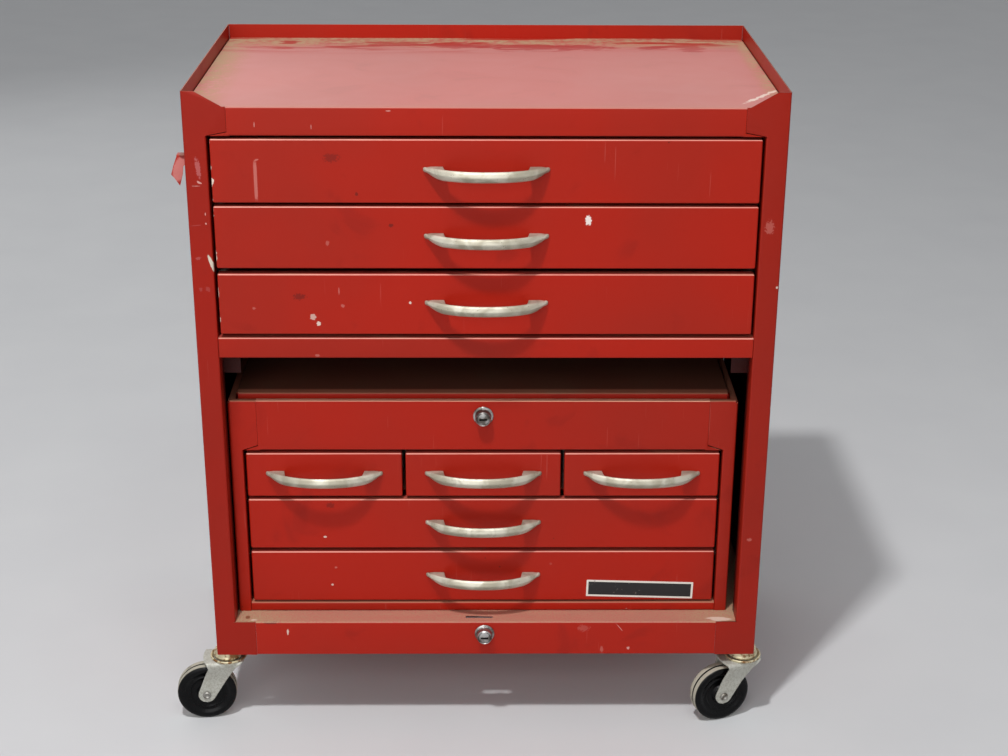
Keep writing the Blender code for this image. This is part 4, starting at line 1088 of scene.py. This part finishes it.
@dataclass
class Pull:
    """A cast arch pull: a bowed, ridged bar between two feet that run out to blunt points."""

    shop: Workshop
    node: str
    bar_half: float = 0.0062
    bar_thickness: float = 0.0070
    facet: float = 0.0038
    foot_length: float = 0.0240
    tip_rise: float = 0.0030
    tip_depth: float = 0.0014
    step_length: float = 0.0022
    tip_half: float = 0.0026
    blunt_length: float = 0.0016
    blunt_share: float = 0.30
    bow_flatness: float = 2.3
    bow_fullness: float = 0.85
    stations: int = 140
    BAR = ((0.0, -1.0), (0.62, -1.0), (0.92, -0.55), (1.0, 0.0), (0.70, 0.52), (0.12, 1.0), (-0.12, 1.0),
           (-0.70, 0.52), (-1.0, 0.0), (-0.92, -0.55), (-0.62, -1.0), (0.0, -1.0))
    FOOT = ((0.0, -1.0), (1.0, -1.0), (1.0, -0.55), (1.0, 0.0), (0.66, 0.58), (0.08, 1.0), (-0.08, 1.0),
            (-0.66, 0.58), (-1.0, 0.0), (-1.0, -0.55), (-1.0, -1.0), (0.0, -1.0))

    def build(self) -> None:
        """Lofts the pull along its length.

        Every section has a flat rear, two flanks and two facets that meet in a ridge. The ridge's depth is a
        flat-topped bow of the distance from the middle. Over the foot, with s running from 0 at the tip to 1
        at its inner end, the upper edge climbs by 1 - (1 - s)^6 and the lower one falls by 1 - (1 - s)^2, so
        that the tip sits high and the lower outline runs on into the bar's. The rear lies on the drawer over
        the foot, steps away from it at the foot's inner end and then follows the bow.
        """
        low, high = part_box(self.node)
        length = high.x - low.x
        projection = high.y - low.y
        middle = Vector(((low.x + high.x) / 2, high.y, (low.z + high.z) / 2))
        share = np.sin(np.linspace(-0.5, 0.5, self.stations) * np.pi)
        away = np.abs(share)
        along = (1 - away) * length / 2
        foot = np.clip(along / self.foot_length, 0, 1)
        upper = self.tip_rise + (self.bar_half - self.tip_rise) * (1 - (1 - foot) ** 6)
        lower = self.tip_rise - (self.bar_half + self.tip_rise) * (1 - (1 - foot) ** 2)
        blunt = np.clip(along / self.blunt_length, 0, 1) * (1 - self.blunt_share) + self.blunt_share
        half = np.maximum((upper - lower) / 2, self.tip_half) * np.sqrt(blunt)
        level = (upper + lower) / 2
        bow = np.maximum(0.0, 1 - away ** self.bow_flatness) ** self.bow_fullness
        ridge = self.tip_depth + (projection - self.tip_depth) * bow
        wide = ridge - np.minimum(self.facet, ridge * 0.45)
        lifted = np.clip((along - self.foot_length + self.step_length) / self.step_length, 0, 1)
        lifted = lifted * lifted * (3 - 2 * lifted)
        rear = (ridge - self.bar_thickness) * lifted
        bar, seat = (np.array(eased(outline, 0.14, 4)[:-1]) for outline in (self.BAR, self.FOOT))
        section = seat[None] + (bar - seat)[None] * lifted[:, None, None]
        across, out = section[..., 0], section[..., 1]
        depth = wide[:, None] + np.where(out < 0, (wide - rear)[:, None], (ridge - wide)[:, None]) * out
        points = np.stack([np.repeat(share[:, None] * length / 2, across.shape[1], axis=1), -depth,
                           level[:, None] + half[:, None] * across], axis=-1)
        made = mesh_object(self.node.replace("_pull_", "_arch_pull_"),
                           points.reshape(-1, 3) + np.array(middle),
                           tube_faces(self.stations, across.shape[1]), 60.0)
        self.shop.fit(made, self.node, "cast_metal", CastMetal())


@dataclass
class CamLock:
    """A cam lock: a flange with a proud barrel, its nut, and a plug with a keyway and a cam."""

    shop: Workshop
    name: str
    face: float = 0.012
    barrel: float = 0.0092
    plug: float = 0.0070
    proud: float = 0.0042
    nose: float = 0.0118
    nose_radius: float = 0.0093
    flange: float = 0.0020
    sheet: float = 0.0012
    keyway_length: float = 0.0086
    keyway_width: float = 0.0020
    keyway_depth: float = 0.0075
    nut_radius: float = 0.0120
    nut_thickness: float = 0.0035
    nut_chamfer: float = 0.0004
    nut_gap: float = 0.0009
    plug_gap: float = 0.0003
    plug_dome: float = 0.0009
    cam_half: float = 0.0050
    cam_root: float = 1.3
    cam_front: float = 0.0032
    cam_back: float = 0.0012
    NICKEL = Plated("worn_nickel", srgb(178, 176, 174), srgb(104, 98, 92), 0.22, 0.55, 0.95)

    def build(self) -> None:
        """Builds the housing and the plug round the axis of their CAD solids."""
        low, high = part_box(self.name + "_housing")
        centre = Vector(((low.x + high.x) / 2, low.y + self.proud, (low.z + high.z) / 2))
        out = Matrix.Translation(centre) @ Matrix.Rotation(math.pi / 2, 4, "X")
        rear = centre.y - high.y
        bore = self.plug + SEAT
        outline = eased([(bore, rear), (bore, self.nose - 0.0006), (bore + 0.0007, self.nose),
                         (self.nose_radius - 0.0012, self.nose - 0.0003),
                         (self.nose_radius, self.nose - 0.0018), (self.nose_radius + 0.0002, self.flange),
                         (self.face - 0.0014, self.flange - 0.0002), (self.face, self.flange - 0.0010),
                         (self.face, SEAT), (self.barrel, SEAT), (self.barrel, rear)], 0.0006)
        outline.append((bore, rear))
        housing = self._ring(self.name + "_face", outline, out)
        near, far = -self.sheet - SEAT, -self.sheet - SEAT - self.nut_thickness
        inner, wide, cut = bore + self.nut_gap, self.nut_radius, self.nut_chamfer
        narrow = wide - cut * 0.75
        section = [(inner, far), (narrow, far), (wide, far + cut), (wide, near - cut), (narrow, near),
                   (inner, near), (inner, far)]
        nut = self._ring(self.name + "_nut", section, out, 6)
        self.shop.fit(housing, self.name + "_housing", "nickel", self.NICKEL)
        self.shop.paint(nut, self.NICKEL)
        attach(nut, "cabinet" if self.name == "sill_lock" else "chest")
        self._plug(centre)

    def _ring(self, name: str, outline: list[tuple[float, float]], place: Matrix,
              segments: int = 72) -> bpy.types.Object:
        """A closed outline carried round the axis.

        Args:
            name: The piece's name.
            outline: Radius and height, ending where it starts.
            place: Sends Z to the lock's axis.
            segments: Points round the axis.

        Returns:
            The ring.
        """
        points = np.array(outline[:-1], float)
        angle = np.linspace(0, 2 * np.pi, segments, endpoint=False)
        rings = np.stack([points[:, :1] * np.cos(angle), points[:, :1] * np.sin(angle),
                          np.repeat(points[:, 1:], segments, axis=1)], axis=-1)
        closed = np.concatenate([rings, rings[:1]])
        faces = grid_faces(len(closed), segments, True)
        return mesh_object(name, carried(closed.reshape(-1, 3), place), faces, 38.0)

    def _plug(self, centre: Vector) -> None:
        """The plug and its cam.

        The plug's face is a disc in polar steps, domed by the square of the radius, whose depth is a steep
        step of the distance from the keyway's outline, and its skirt runs back to the cam.

        Args:
            centre: The lock's centre on the front sheet.
        """
        node = self.name + "_plug"
        low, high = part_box(node)
        rings, spokes = 40, 96
        radius = np.linspace(0.0, 1.0, rings)[:, None] * (self.plug - self.plug_gap)
        angle = np.linspace(0, 2 * np.pi, spokes, endpoint=False)[None, :]
        x, z = radius * np.cos(angle), radius * np.sin(angle)
        outside = np.maximum(np.abs(x) - self.keyway_length / 2, np.abs(z) - self.keyway_width / 2)
        sunk = np.clip(0.5 - outside / 0.0003, 0, 1)
        rim = centre.y - self.nose + 0.0004
        y = rim - self.plug_dome * (1 - (radius / self.plug) ** 2) + sunk * self.keyway_depth
        face = np.stack([x, y, z], axis=-1)
        gap = self.plug_gap
        outline = [(self.plug, rim + gap), (self.plug, high.y - gap), (self.plug - gap, high.y)]
        skirt = np.stack([np.stack([r * np.cos(angle[0]), np.full(spokes, depth), r * np.sin(angle[0])], -1)
                          for r, depth in outline])
        points = np.concatenate([face, skirt]).reshape(-1, 3) + np.array([centre.x, 0, centre.z])
        made = mesh_object(self.name + "_key_plug", points, tube_faces(rings + len(outline), spokes), 38.0)
        middle = centre - self.shop.origin
        # The plug's finish carries painted shade in its keyway.
        keyed = replace(self.NICKEL, name=self.name + "_plug_nickel",
                        keyway=(middle.x, middle.z, self.keyway_length / 2, self.keyway_width / 2))
        self.shop.fit(made, node, "nickel", keyed)
        body = self.shop.frame["nodes"][node]["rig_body"]
        cam = self._cam(centre, low, high)
        self.shop.paint(cam, self.NICKEL)
        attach(cam, body)

    def _cam(self, centre: Vector, low: Vector, high: Vector) -> bpy.types.Object:
        """A flat cam that points to the lock's left, with a round end.

        Args:
            centre: The lock's centre.
            low, high: The corners of the CAD plug's box, which the cam reaches.

        Returns:
            The cam.
        """
        half, wide = self.cam_half, self.cam_half * self.cam_root
        reach = centre.x - low.x
        bend = np.linspace(np.pi / 2, 1.5 * np.pi, 17)
        tip = np.stack([-(reach - half) + half * np.cos(bend), half * np.sin(bend)], axis=-1)
        root = np.stack([wide * np.cos(bend + np.pi), wide * np.sin(bend + np.pi)], axis=-1)
        outline = np.concatenate([tip, root])
        front, back = high.y - self.cam_front, high.y - self.cam_back
        layers = [np.stack([outline[:, 0] + centre.x, np.full(len(outline), depth),
                            outline[:, 1] + centre.z], axis=-1) for depth in (front, back)]
        return mesh_object(self.name + "_cam", np.concatenate(layers), tube_faces(2, len(outline)), 38.0)


@dataclass
class Caster:
    """A swivel caster: race cup with its stem, pressed fork, riveted axle and moulded wheel."""

    shop: Workshop
    name: str
    trail: float = 0.029
    axle_drop: float = 0.060
    wheel_radius: float = 0.0365
    wheel_width: float = 0.020
    hub_width: float = 0.0206
    plate: float = 0.0025
    crown_top: float = -0.0126
    top_half: float = 0.0210
    foot_half: float = 0.0145
    knee_drop: float = 0.038
    foot_radius: float = 0.0105
    top_back: float = 0.0270
    top_front: float = 0.0155
    race: float = 0.0185
    axle_head: float = 0.0052
    neck_height: float = 0.007
    neck_inset: float = 0.0042
    saucer: float = 0.0226
    crown_bulge: float = 0.0045
    nut_width: float = 0.0150
    nut_under: float = 0.0023
    nut_top: float = 0.0083
    YELLOW = Plated("yellow_zinc", srgb(212, 202, 168), srgb(138, 100, 62), 0.34, 0.42, 0.7, 130.0)

    def build(self) -> None:
        """Builds the caster round its CAD joints' axes."""
        joints = {joint["name"]: joint for joint in self.shop.frame["joints"]}
        swivel = Vector(joints[self.name + "_swivel_turn"]["pos_m"])
        spin = joints[self.name + "_wheel_spin"]
        heading = math.atan2(-spin["axis"][0], spin["axis"][1])
        self.swivel = Matrix.Translation(swivel) @ Matrix.Rotation(heading, 4, "Z")
        self.axle = self.swivel @ Matrix.Translation((-self.trail, 0, -self.axle_drop))
        self.axle = self.axle @ Matrix.Rotation(math.pi / 2, 4, "X")
        caster = self.name + "_caster"
        self._mount(caster)
        self._fork(caster)
        self._rivet(caster)
        self._wheel(caster)

    def _mount(self, caster: str) -> None:
        """The upper race cup with its stem, and the nut above the caster angle."""
        node = caster + "_mount"
        _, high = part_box(node)
        top = high.z - self.swivel.translation.z
        cup_low = self.crown_top + SEAT
        crown_low = self.crown_top - self.plate
        bottom = crown_low - SEAT - 0.0022
        outline = [(0.0, bottom), (0.0052, bottom), (0.0070, bottom + 0.0014), (0.0070, crown_low - SEAT),
                   (0.0038, crown_low - SEAT), (0.0038, cup_low), (self.race - 0.0030, cup_low),
                   (self.race - 0.0004, cup_low + 0.0016), (self.race, cup_low + 0.0036),
                   (self.race - 0.0012, cup_low + 0.0052), (self.race - 0.0022, -0.0014),
                   (self.race - 0.0036, -SEAT), (0.0050, -SEAT), (0.0050, top - 0.0010), (0.0042, top),
                   (0.0, top)]
        made = turned(caster + "_race_cup", eased(outline[1:-1], 0.0011), self.swivel, 72)
        self.shop.fit(made, node, "yellow_zinc", self.YELLOW)
        nut_low, nut_high, reach = self.nut_under, self.nut_top, self.nut_width / math.sqrt(3)
        nut_place = self.swivel @ Matrix.Rotation(math.pi / 6, 4, "Z")
        nut = turned(caster + "_stem_nut", [(reach * 0.94, nut_low), (reach, nut_low + 0.0006),
                                            (reach, nut_high - 0.0006), (reach * 0.94, nut_high)],
                     nut_place, 6, 30.0)
        self.shop.paint(nut, self.YELLOW)
        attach(nut, "cabinet")

    def _fork(self, caster: str) -> None:
        """The fork with its lower race.

        The plate is a surface of two parameters. The first runs along the inverted U, seen from the front,
        from one leg's end over the crown to the other's. The second runs from the leading to the trailing
        edge, which are straight lines tangent to the round end at the axle.
        """
        node = caster + "_fork"
        crown_low = self.crown_top - self.plate
        foot = -self.axle_drop - self.foot_radius
        half = self.plate / 2
        side = [(self.foot_half - half, foot), (self.foot_half - half, -self.knee_drop),
                (self.top_half - half, self.crown_top - half), (0.0, self.crown_top - half)]
        arm = np.array(eased(side, 0.0062, 9))
        extra = []
        for start, end in zip(arm, arm[1:]):
            count = max(1, int(np.linalg.norm(end - start) / 0.0016))
            extra.append(start + (end - start) * np.linspace(0, 1, count, endpoint=False)[:, None])
        arm = np.concatenate(extra + [arm[-1:]])
        path = np.concatenate([arm, (arm * np.array([-1.0, 1.0]))[-2::-1]])
        height = path[:, 1]
        lead, trail = self._edges(np.clip(height, None, crown_low), crown_low)
        across = np.linspace(0, 1, 17)[None, :]
        bulge = 1 - np.clip(np.abs(path[:, 0]) / self.top_half, 0, 1) ** 2
        lead = lead + self.crown_bulge * bulge * (height > crown_low)
        trail = trail - self.crown_bulge * bulge * (height > crown_low)
        x = lead[:, None] + (trail - lead)[:, None] * across
        points = np.stack([x, np.repeat(path[:, :1], 17, axis=1), np.repeat(path[:, 1:], 17, axis=1)], -1)
        made = mesh_object(caster + "_pressed_fork", carried(points.reshape(-1, 3), self.swivel),
                           grid_faces(len(path), 17, False), 60.0)
        wall = made.modifiers.new("plate", "SOLIDIFY")
        wall.thickness = self.plate
        wall.offset = 0
        wall.use_even_offset = True
        soft = made.modifiers.new("soft_edges", "BEVEL")
        soft.width = 0.0005
        soft.segments = 2
        soft.limit_method = "ANGLE"
        soft.angle_limit = math.radians(50)
        zinc = Plated("dull_zinc", srgb(184, 184, 175), srgb(166, 164, 153), 0.46, 0.5, 0.35, 420.0)
        self.shop.fit(made, node, "zinc", zinc)
        lip = self.race + SEAT
        outline = eased([(0.0052, crown_low - 0.0006), (self.race - 0.0010, crown_low - 0.0006),
                         (self.saucer, self.crown_top), (self.saucer, self.crown_top + 0.0026),
                         (self.saucer - 0.0016, self.crown_top + 0.0026), (lip, self.crown_top + 0.0002),
                         (self.race - 0.0024, self.crown_top - 0.0012), (0.0052, self.crown_top - 0.0012)],
                        0.0009)
        dish = turned(caster + "_lower_race", outline, self.swivel, 72)
        self.shop.paint(dish, self.YELLOW)
        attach(dish, self.shop.frame["nodes"][node]["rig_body"])

    def _edges(self, height: np.ndarray, crown_low: float) -> tuple[np.ndarray, np.ndarray]:
        """Leading and trailing edge of the fork's side view at each height.

        Args:
            height: Heights below the race.
            crown_low: Underside of the crown.

        Returns:
            The two edges' places along the trail.
        """
        radius = self.foot_radius
        chord = np.sqrt(np.clip(radius ** 2 - (height + self.axle_drop) ** 2, 0, None))
        edges = []
        for top, hand in ((self.top_front, 1.0), (-self.top_back, -1.0)):
            away, above = top + self.trail, crown_low + self.axle_drop
            bearing = math.atan2(above, away) - hand * math.acos(radius / math.hypot(above, away))
            touch_x = -self.trail + radius * math.cos(bearing)
            touch_z = -self.axle_drop + radius * math.sin(bearing)
            rise = (height - touch_z) / (crown_low - touch_z)
            neck = np.clip((crown_low - height) / self.neck_height, 0, 1)
            neck = neck * neck * (3 - 2 * neck) * self.neck_inset * np.clip(rise, 0, 1)
            line = touch_x + (top - touch_x) * rise - hand * neck
            edges.append(np.where(height > touch_z, line, -self.trail + hand * chord))
        return edges[0], edges[1]

    def _rivet(self, caster: str) -> None:
        """The axle rivet with two domed heads."""
        head = self.foot_half + SEAT
        dome = [(0.0004, head + 0.0007), (0.0018, head + 0.0008), (0.0025, head + 0.0017),
                (0.0033, head + 0.0021), (0.0041, head + 0.0016), (0.0046, head + 0.0004),
                (self.axle_head, head + 0.0003), (self.axle_head, head), (0.0035, head)]
        outline = dome + [(radius, -height) for radius, height in dome[::-1]]
        made = turned(caster + "_rivet", outline, self.axle, 40)
        rivet = Plated("rivet_zinc", srgb(150, 148, 142), srgb(104, 98, 88), 0.36, 0.5, 0.85)
        self.shop.fit(made, caster + "_axle", "zinc", rivet)

    def _wheel(self, caster: str) -> None:
        """The moulded wheel with its hub, ribbed flank and grooved tread; an attribute marks the tread."""
        half, hub = self.wheel_width / 2, self.hub_width / 2
        web, rim = 0.0068, self.wheel_radius
        upper = [(0.0038, hub), (0.0105, hub), (0.0118, hub - 0.0012), (0.0132, web), (0.0196, web),
                 (0.0204, web + 0.0011), (0.0218, web + 0.0011), (0.0226, web + 0.0003),
                 (0.0252, web + 0.0006), (0.0282, half - 0.0006), (0.0300, half), (0.0326, half),
                 (rim - 0.0012, half - 0.0010), (rim - 0.0003, half - 0.0022), (rim, half - 0.0032),
                 (rim, half - 0.0046), (rim, 0.0024), (rim, 0.0016), (rim - 0.0008, 0.0011),
                 (rim - 0.0022, 0.0008)]
        outline = eased(upper + [(radius, -height) for radius, height in upper[::-1]], 0.0006, 3)
        made = turned(caster + "_moulded_wheel", outline, self.axle, 96, 50.0)
        places = np.array([vertex.co for vertex in made.data.vertices])
        inverse = np.array(self.axle.inverted())
        local = places @ inverse[:3, :3].T + inverse[:3, 3]
        radius = np.hypot(local[:, 0], local[:, 1])
        tread = np.clip((radius - (rim - 0.0005)) / 0.0003, 0, 1)
        tread *= np.clip((half - 0.0016 - np.abs(local[:, 2])) / 0.0012, 0, 1)
        layer = made.data.attributes.new("tread", "FLOAT", "POINT")
        layer.data.foreach_set("value", tread.astype(np.float32))
        self.shop.fit(made, caster + "_wheel", "hard_rubber", HardRubber())


@dataclass
class Label:
    """The blank plate on the chest's lowest drawer."""

    shop: Workshop
    centre_x: float = 0.1886
    centre_z: float = 0.0755
    half_length: float = 0.0655
    half_height: float = 0.01125
    border: float = 0.0024
    thickness: float = 0.0003
    tilt: float = math.radians(-1.6)

    def build(self) -> None:
        """Builds a thin plate with rounded corners on the drawer's face."""
        node = "chest_drawer_lower"
        low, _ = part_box(node)
        corner = 0.0008
        angle = np.linspace(0, 2 * np.pi, 48, endpoint=False)
        right = np.sign(np.cos(angle)) * (self.half_length - corner) + corner * np.cos(angle)
        up = np.sign(np.sin(angle)) * (self.half_height - corner) + corner * np.sin(angle)
        cosine, sine = math.cos(self.tilt), math.sin(self.tilt)
        x = self.shop.origin.x + self.centre_x + right * cosine - up * sine
        z = self.shop.origin.z + self.centre_z + right * sine + up * cosine
        layers = [np.stack([x, np.full_like(x, y), z], axis=-1) for y in (low.y - self.thickness, low.y)]
        made = mesh_object("bare_label_plate", np.concatenate(layers), tube_faces(2, len(x)), 38.0)
        self.shop.paint(made, BareLabel((self.centre_x, self.centre_z), (self.half_length, self.half_height),
                                        self.border, self.tilt))
        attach(made, self.shop.frame["nodes"][node]["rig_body"])


@dataclass
class Studio:
    """The camera at the photograph's angle, a pale floor and soft light."""

    shop: Workshop
    eye: tuple[float, float, float] = (-0.0032, -1.8436, 1.1227)
    pitch: float = math.radians(22.28)
    yaw: float = math.radians(0.73)
    roll: float = math.radians(0.30)
    focal_pixels: float = 1733.4
    image_width: float = 1008.0
    sensor: float = 36.0
    floor_half: float = 12.0
    sky_light: float = 0.30
    sky_seen: float = 0.80
    sky_colour: tuple[float, float, float, float] = (0.93, 0.94, 0.96, 1.0)

    def build(self) -> None:
        """Sets the camera, the lights and the floor."""
        self._camera()
        self._lights()
        self._floor()

    def _camera(self) -> None:
        """Places the camera from its pitch, yaw and roll."""
        forward = Vector((math.sin(self.yaw) * math.cos(self.pitch),
                          math.cos(self.yaw) * math.cos(self.pitch), -math.sin(self.pitch)))
        level = Vector((math.cos(self.yaw), -math.sin(self.yaw), 0))
        upright = level.cross(forward)
        right = level * math.cos(self.roll) + upright * math.sin(self.roll)
        up = upright * math.cos(self.roll) - level * math.sin(self.roll)
        data = bpy.data.cameras.new("photo_camera")
        data.sensor_width = self.sensor
        data.lens = self.focal_pixels / self.image_width * self.sensor
        camera = bpy.data.objects.new("photo_camera", data)
        turn = Matrix((right, up, -forward)).transposed().to_4x4()
        camera.matrix_world = Matrix.Translation(self.shop.at(*self.eye)) @ turn
        bpy.context.scene.collection.objects.link(camera)
        bpy.context.scene.camera = camera

    def _lights(self) -> None:
        """A small key from the upper left front, weak fills in front and behind, and a pale surround."""
        aim = self.shop.at(0, 0.1, 0.35)
        for name, place, size, power in (("key", (-0.48, -1.36, 3.27), 0.16, 66.0),
                                         ("second", (0.50, -1.4, 3.2), 0.5, 7.0),
                                         ("front", (-0.9, -3.2, 1.7), 2.2, 36.0),
                                         ("rear", (-1.6, 2.4, 1.9), 2.4, 12.0)):
            data = bpy.data.lights.new(name, "AREA")
            data.size = size
            data.energy = power
            lamp = bpy.data.objects.new(name, data)
            spot = Vector(place)
            turn = (aim - spot).to_track_quat("-Z", "Y").to_matrix().to_4x4()
            lamp.matrix_world = Matrix.Translation(spot) @ turn
            bpy.context.scene.collection.objects.link(lamp)
        world = bpy.data.worlds.new("pale_room")
        bpy.context.scene.world = world
        world.use_nodes = True
        world.node_tree.nodes.clear()
        sky = NodeTree(world.node_tree)
        rays = sky.node("ShaderNodeLightPath", output="Is Camera Ray")
        glossy = Value(sky, rays.socket.node.outputs["Is Glossy Ray"])
        strength = self.sky_light + (self.sky_seen - self.sky_light) * rays.at_least(glossy)
        light = sky.node("ShaderNodeBackground", inputs={"Color": self.sky_colour, "Strength": strength})
        sky.node("ShaderNodeOutputWorld", inputs={"Surface": light})

    def _floor(self) -> None:
        """A flat pale floor that reaches past the frame on every side."""
        corners = [(-self.floor_half, -self.floor_half, 0), (self.floor_half, -self.floor_half, 0),
                   (self.floor_half, self.floor_half, 0), (-self.floor_half, self.floor_half, 0)]
        mesh = bpy.data.meshes.new("pale_floor")
        mesh.from_pydata(corners, [], [(0, 1, 2, 3)])
        floor = bpy.data.objects.new("pale_floor", mesh)
        bpy.context.scene.collection.objects.link(floor)
        painter = Painter("floor_paint", (0, 0, 0))
        cloud = painter.noise(6.0, 4.0)
        colour = painter.mix(cloud, srgb(203, 204, 206), srgb(211, 212, 213))
        floor.data.materials.append(painter.finish(colour, 0.75, 0.0))
        floor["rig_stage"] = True


def main() -> list[list[list[float]]]:
    """Builds the scene.

    Returns:
        The CAD model's box and the visual model's box.
    """
    logging.basicConfig(level=logging.INFO, format="%(name)s: %(message)s")
    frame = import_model()
    cad_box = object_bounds()
    bpy.context.scene.view_settings.view_transform = "Standard"
    shop = Workshop(frame)
    Studio(shop).build()
    Cabinet(shop).build()
    Drawers(shop).build()
    ChestShell(shop).build()
    for node in sorted(name for name in frame["nodes"] if "_pull_" in name):
        Pull(shop, node).build()
    for name in ("sill_lock", "chest_lock"):
        CamLock(shop, name).build()
    for name in ("front_left", "front_right", "rear_left", "rear_right"):
        Caster(shop, name).build()
    Label(shop).build()
    boxes = [[list(corner) for corner in box] for box in (cad_box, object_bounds())]
    return boxes


if __name__ == "__main__":
    main()
